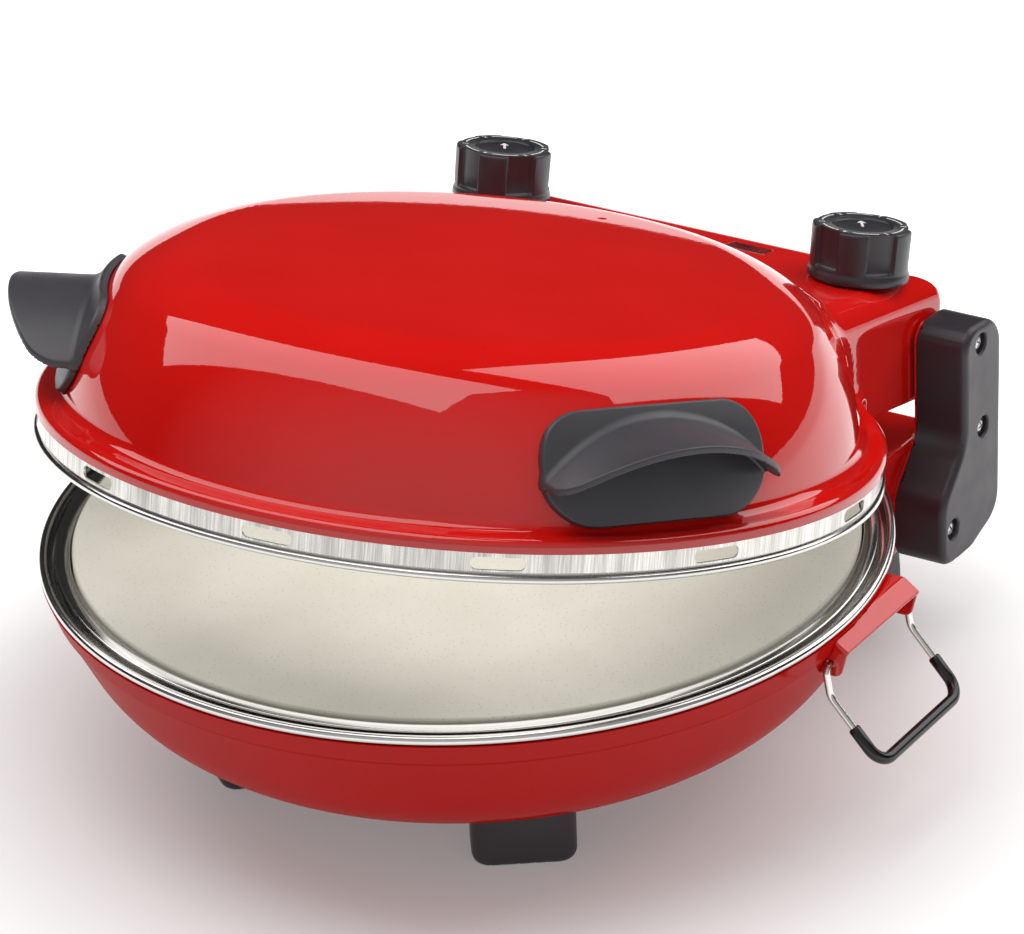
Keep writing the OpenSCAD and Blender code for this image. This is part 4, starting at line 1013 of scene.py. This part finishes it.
def brushed_band():
    """Stainless strip, brushed across its width: fine upright lines that break up each reflection."""
    mat, tree, shader, where = material("brushed_stainless_steel", "#C9C6C0", 0.3, 1.0)
    along, up, _ = about_axis(tree, where, on_lid(np.zeros((1, 3)))[0], -LID_OPEN, BAND_R)
    grain = add(tree, "ShaderNodeCombineXYZ", [("X", along), ("Y", up)]).outputs[0]

    def streaks(across, length, detail):
        spot = add(tree, "ShaderNodeMapping", [("Vector", grain), ("Scale", (1 / across, 1 / length, 1))])
        return noise(tree, spot.outputs[0], 1, detail)

    lines = streaks(0.5, 22, 3.0)
    mix = maths(tree, "ADD", lines, streaks(7, 60, 2.0))
    shade = add(tree, "ShaderNodeMix", [("Factor", ranged(tree, mix, 0.7, 1.3)), ("A", srgb("#A9A6A1")),
                                        ("B", srgb("#E6E4DF"))], data_type="RGBA")
    tree.links.new(shade.outputs["Result"], shader.inputs["Base Color"])
    tree.links.new(ranged(tree, mix, 0.7, 1.3, 0.36, 0.22), shader.inputs["Roughness"])
    raised(tree, shader, lines, 0.03, 0.6)
    return mat


def polished_steel():
    """Stainless steel spun and polished: mirror bright, with faint rings left by the spinning."""
    mat, tree, shader, where = material("spun_polished_stainless_steel", "#CFCDCA", 0.12, 1.0)
    _, up, away = about_axis(tree, where, on_base(np.zeros((1, 3)))[0], 0, 1)
    ring = add(tree, "ShaderNodeCombineXYZ", [("X", away), ("Y", up)])
    lines = noise(tree, ring.outputs[0], 0.5, 3.0)
    tree.links.new(ranged(tree, lines, 0.3, 0.7, 0.09, 0.2), shader.inputs["Roughness"])
    raised(tree, shader, lines, 0.012, 0.4)
    return mat


def fired_clay():
    """Cordierite clay, pressed, fired and ground flat: matt, pale and chalky, with fine grog specks."""
    mat, tree, shader, where = material("fired_cordierite_clay", "#D3CFC2", 0.82)
    cloud = toned(tree, noise(tree, where, 45, 4.0), "#CFCBBE", "#D8D4C8")
    speck = add(tree, "ShaderNodeTexVoronoi", [("Vector", where)], Scale=1 / (2.2 * MM))
    dots = ranged(tree, speck.outputs["Distance"], 0.12, 0.22)
    shade = add(tree, "ShaderNodeMix", [("Factor", dots), ("A", srgb("#C2BDAE")), ("B", cloud)], data_type="RGBA")
    tree.links.new(shade.outputs["Result"], shader.inputs["Base Color"])
    raised(tree, shader, noise(tree, where, 0.9, 3.0), 0.05, 0.5)
    return mat


def moulded(name, colour, light, roughness, grain, depth, **sockets):
    """Moulded plastic with a spark-eroded texture: a satin sheen that breaks softly over a fine grain."""
    mat, tree, shader, where = material(name, colour, roughness, **sockets)
    varied(tree, shader, where, "Base Color", 30, colour, light, detail=2.0)
    varied(tree, shader, where, "Roughness", 12, roughness - 0.04, roughness + 0.05)
    raised(tree, shader, noise(tree, where, grain, 2.0), depth, 0.5)
    return mat


def patchy(name, colour, roughness, metallic, *patches, **sockets):
    """A material whose sockets each vary in patches: the socket, the size in millimetres and the two ends."""
    mat, tree, shader, where = material(name, colour, roughness, metallic, **sockets)
    for patch in patches:
        varied(tree, shader, where, *patch)
    return mat


def dress(mat, *nodes):
    """Gives nodes of the part a finish."""
    for name in nodes:
        slots = NODES[name].material_slots
        if not slots:
            NODES[name].data.materials.append(mat)
        for slot in slots:
            slot.link = "OBJECT"
            slot.material = mat


RED = red_enamel("red_gloss_sprayed_enamel", 1.0, 0.03)
RED_SATIN = red_enamel("red_satin_sprayed_enamel", 0.3, 0.12)
BAND = brushed_band()
POLISHED = polished_steel()
CLAY = fired_clay()
BLACK = moulded("moulded_black_phenolic", "#3E3C40", "#444247", 0.42, 0.7, 0.03)
ARM_BLACK = moulded("moulded_black_nylon_arms", "#292329", "#2E282F", 0.4, 0.7, 0.03)
KNOB = moulded("moulded_black_nylon", "#29272B", "#2E2C31", 0.36, 0.6, 0.02)
SLEEVE = moulded("gloss_black_silicone_sleeve", "#0E0D0F", "#141315", 0.2, 3.0, 0.02)
# steel wire, drawn and nickel plated: bright, with faint draw lines that streak its highlight
WIRE = patchy("nickel_plated_drawn_wire", "#D2CEC8", 0.14, 1.0, ("Roughness", 2.5, 0.1, 0.2))
# steel pressed and zinc plated: a cool grey metal, clouded by the plating
ZINC = patchy("zinc_plated_steel", "#BDBDBA", 0.32, 1.0, ("Base Color", 2.5, "#A9A9A6", "#CDCDCA"),
              ("Roughness", 1.5, 0.24, 0.4))
# Incoloy heater sheath, drawn and annealed: a dull olive-grey oxide, darker in patches
SHEATH = patchy("annealed_heater_sheath", "#55504A", 0.5, 1.0, ("Base Color", 14, "#47423C", "#6B655C"),
                ("Roughness", 5, 0.4, 0.6))
# steatite ceramic, pressed and fired: off-white, smooth and slightly waxy
CERAMIC = patchy("fired_steatite", "#E4E0D4", 0.42, 0.0, ("Base Color", 6, "#DDD8CA", "#E9E6DC"))
# clear red polycarbonate over a lamp, moulded: glossy and dark, with lighter patches that are painted light, standing
# for the lamp's light behind it
LENS = patchy("red_polycarbonate_lens", "#5A0A0C", 0.12, 0.0, ("Base Color", 7, "#4A0709", "#8C1516", 1.0),
              Coat_Weight=0.6)
# pad-printed white ink: opaque and slightly chalky
INK = patchy("pad_printed_white_ink", "#E6E6E4", 0.5, 0.0, ("Base Color", 1.0, "#D9D9D6", "#EEEEEC"))


# ---- the object ----
dress(RED, "base_bowl", "base_housing", "lid_shell")
dress(POLISHED, "reflector_pan")
dress(BAND, "lid_liner")
dress(CLAY, "baking_stone")
dress(BLACK, "lid_housing_cover", "cable_gland")
dress(ZINC, "foot_screws", "arm_screws", "lid_handle_screws", "upper_element_clips", "lower_element_clips")
dress(SHEATH, "lower_element", "upper_element")
dress(CERAMIC, "terminal_block", "arm_wiring")
bowl(RED_SATIN)
pan(POLISHED)
stone(CLAY)
base_housing(RED)
gland(BLACK)
screws(ZINC)
lid_shell(RED)
housing_foot(RED)
lid_liner(BAND, POLISHED)
upper_heater(SHEATH)
for hand, name in SIDES:
    dress(RED, "handle_bracket_" + name, "hinge_bracket_" + name)
    dress(BLACK, "front_foot_" + name, "rear_foot_" + name, "arm_cover_" + name, "lid_handle_" + name)
    dress(KNOB, "knob_" + name, "knob_cap_" + name)
    dress(WIRE, "wire_handle_" + name)
    dress(SLEEVE, "wire_grip_" + name)
    dress(ZINC, "hinge_pin_" + name, "shaft_" + name, "lid_hinge_plate_" + name)
    dress(CERAMIC, "thermostat_" + name)
    dress(LENS, "pilot_lens_" + name)
    front_foot(hand, name, BLACK)
    rear_foot(hand, name, BLACK)
    bracket(hand, name, RED)
    arm(hand, name, ARM_BLACK)
    lens(hand, name, LENS)
    grip(hand, name, BLACK)
    knob(hand, name, KNOB)
    knob_disc(hand, name, KNOB)
    knob_marks(hand, name, INK)
    wire_handle(hand, name, WIRE, SLEEVE)


# ---- camera ----
def camera():
    """The view from in front and to the right, from well away."""
    azimuth, elevation, roll = math.radians(33.1), math.radians(26.63), math.radians(-2.04)
    place = Vector((1018.2, -1523.0, 944.3)) * MM + Vector((0, CENTRE_Y, RIM_Z))
    back = Vector((math.sin(azimuth) * math.cos(elevation), -math.cos(azimuth) * math.cos(elevation),
                   math.sin(elevation)))
    right = Vector((math.cos(azimuth), math.sin(azimuth), 0))
    up = back.cross(right)
    side = right * math.cos(roll) + up * math.sin(roll)
    top = up * math.cos(roll) - right * math.sin(roll)
    data = bpy.data.cameras.new("camera")
    data.lens, data.sensor_width = 178.6, 36
    data.shift_x, data.shift_y = -0.00475, 0.00044
    data.clip_start, data.clip_end = 0.1, 60
    cam = linked("camera", data)
    cam.matrix_world = Matrix.Translation(place) @ Matrix((side, top, back)).transposed().to_4x4()
    bpy.context.scene.camera = cam


# ---- light ----
def softbox(name, place, across, along, size, power):
    """A flat panel of light: its middle, the directions of its two sides, its size and its power."""
    data = bpy.data.lights.new(name, "AREA")
    data.shape = "RECTANGLE"
    data.size, data.size_y = size
    data.energy = power
    x, y = Vector(across).normalized(), Vector(along).normalized()
    lamp = linked(name, data)
    lamp.location = place
    lamp.rotation_euler = Matrix((x, y, x.cross(y))).transposed().to_euler()
    return lamp


def light_wall(name, place, across, along, level, reach_across, reach_along):
    """A softbox of a given brightness, that reaches so far along its two sides from a point in its plane."""
    x, y = Vector(across).normalized(), Vector(along).normalized()
    (a, b), (c, d) = reach_across, reach_along
    middle = Vector(place) + x * (a + b) / 2 + y * (c + d) / 2
    softbox(name, middle, x, y, (b - a, d - c), level * math.pi * (b - a) * (d - c))


def sky():
    """A pale room: dim behind the object and brighter in front of it."""
    world = bpy.data.worlds.new("studio")
    bpy.context.scene.world = world
    world.use_nodes = True
    tree = world.node_tree
    where = add(tree, "ShaderNodeTexCoord")
    front = add(tree, "ShaderNodeVectorMath", [(0, where.outputs["Generated"]), (1, (0.45, -0.85, 0.1))],
                operation="DOT_PRODUCT")
    background = tree.nodes["Background"]
    background.inputs["Color"].default_value = (1, 1, 1, 1)
    tree.links.new(ranged(tree, front.outputs["Value"], 0.0, 0.9, 0.03, 0.6), background.inputs["Strength"])


def paper():
    """A sheet of white paper that glows more the farther it lies from the object: painted light for camera, glossy and
    transmission rays, which leaves the floor darker round the object as painted shade.
    """
    size = 6.0
    mesh = mesh_of("floor", [(-size, -size, 0), (size, -size, 0), (size, size, 0), (-size, size, 0)], [range(4)])
    mat, tree, shader, where = material("white_paper_sweep", "#D2D2D2", 0.9)
    path = add(tree, "ShaderNodeLightPath").outputs
    seen = maths(tree, "MAXIMUM", path["Is Camera Ray"], path["Is Glossy Ray"])
    seen = maths(tree, "MAXIMUM", seen, path["Is Transmission Ray"])
    place = add(tree, "ShaderNodeVectorMath", [(0, where)], operation="LENGTH")
    # painted light and shade: the glow rises from 0.2 near the object to 0.97 farther out, so the floor is darker round
    # the object
    away = ranged(tree, place.outputs["Value"], 0.13, 0.4, 0.2, 0.97, interpolation_type="SMOOTHSTEP")
    shader.inputs["Emission Color"].default_value = (1, 1, 1, 1)
    tree.links.new(maths(tree, "MULTIPLY", seen, away), shader.inputs["Emission Strength"])
    mesh.materials.append(mat)
    linked("floor", mesh)


def lights():
    """Two large softboxes, one at each side, and a weak lamp in the gap under the lid."""
    light_wall("left_box", (-0.358, -0.284, 1.201), (-0.94, 0.16, -0.303), (-0.106, -0.977, -0.186), 2.4,
               (-0.85, 1.12), (-0.45, 0.3))
    light_wall("right_box", (0.743, 0.433, 1.005), (-0.045, -0.854, 0.518), (0.918, -0.242, -0.311), 2.4,
               (-1.05, 0.3), (-0.9, 0.2))
    # a weak lamp under the lid's liner, over the stone, which turns away with the lid
    glow = softbox("gap_fill", (0, CENTRE_Y - 0.02, RIM_Z + 0.052), (1, 0, 0), (0, 1, 0), (0.26, 0.22), 0.2)
    glow.visible_camera = False
    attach(glow, "lid")


camera()
bpy.context.scene.view_settings.view_transform = "Standard"
sky()
paper()
lights()
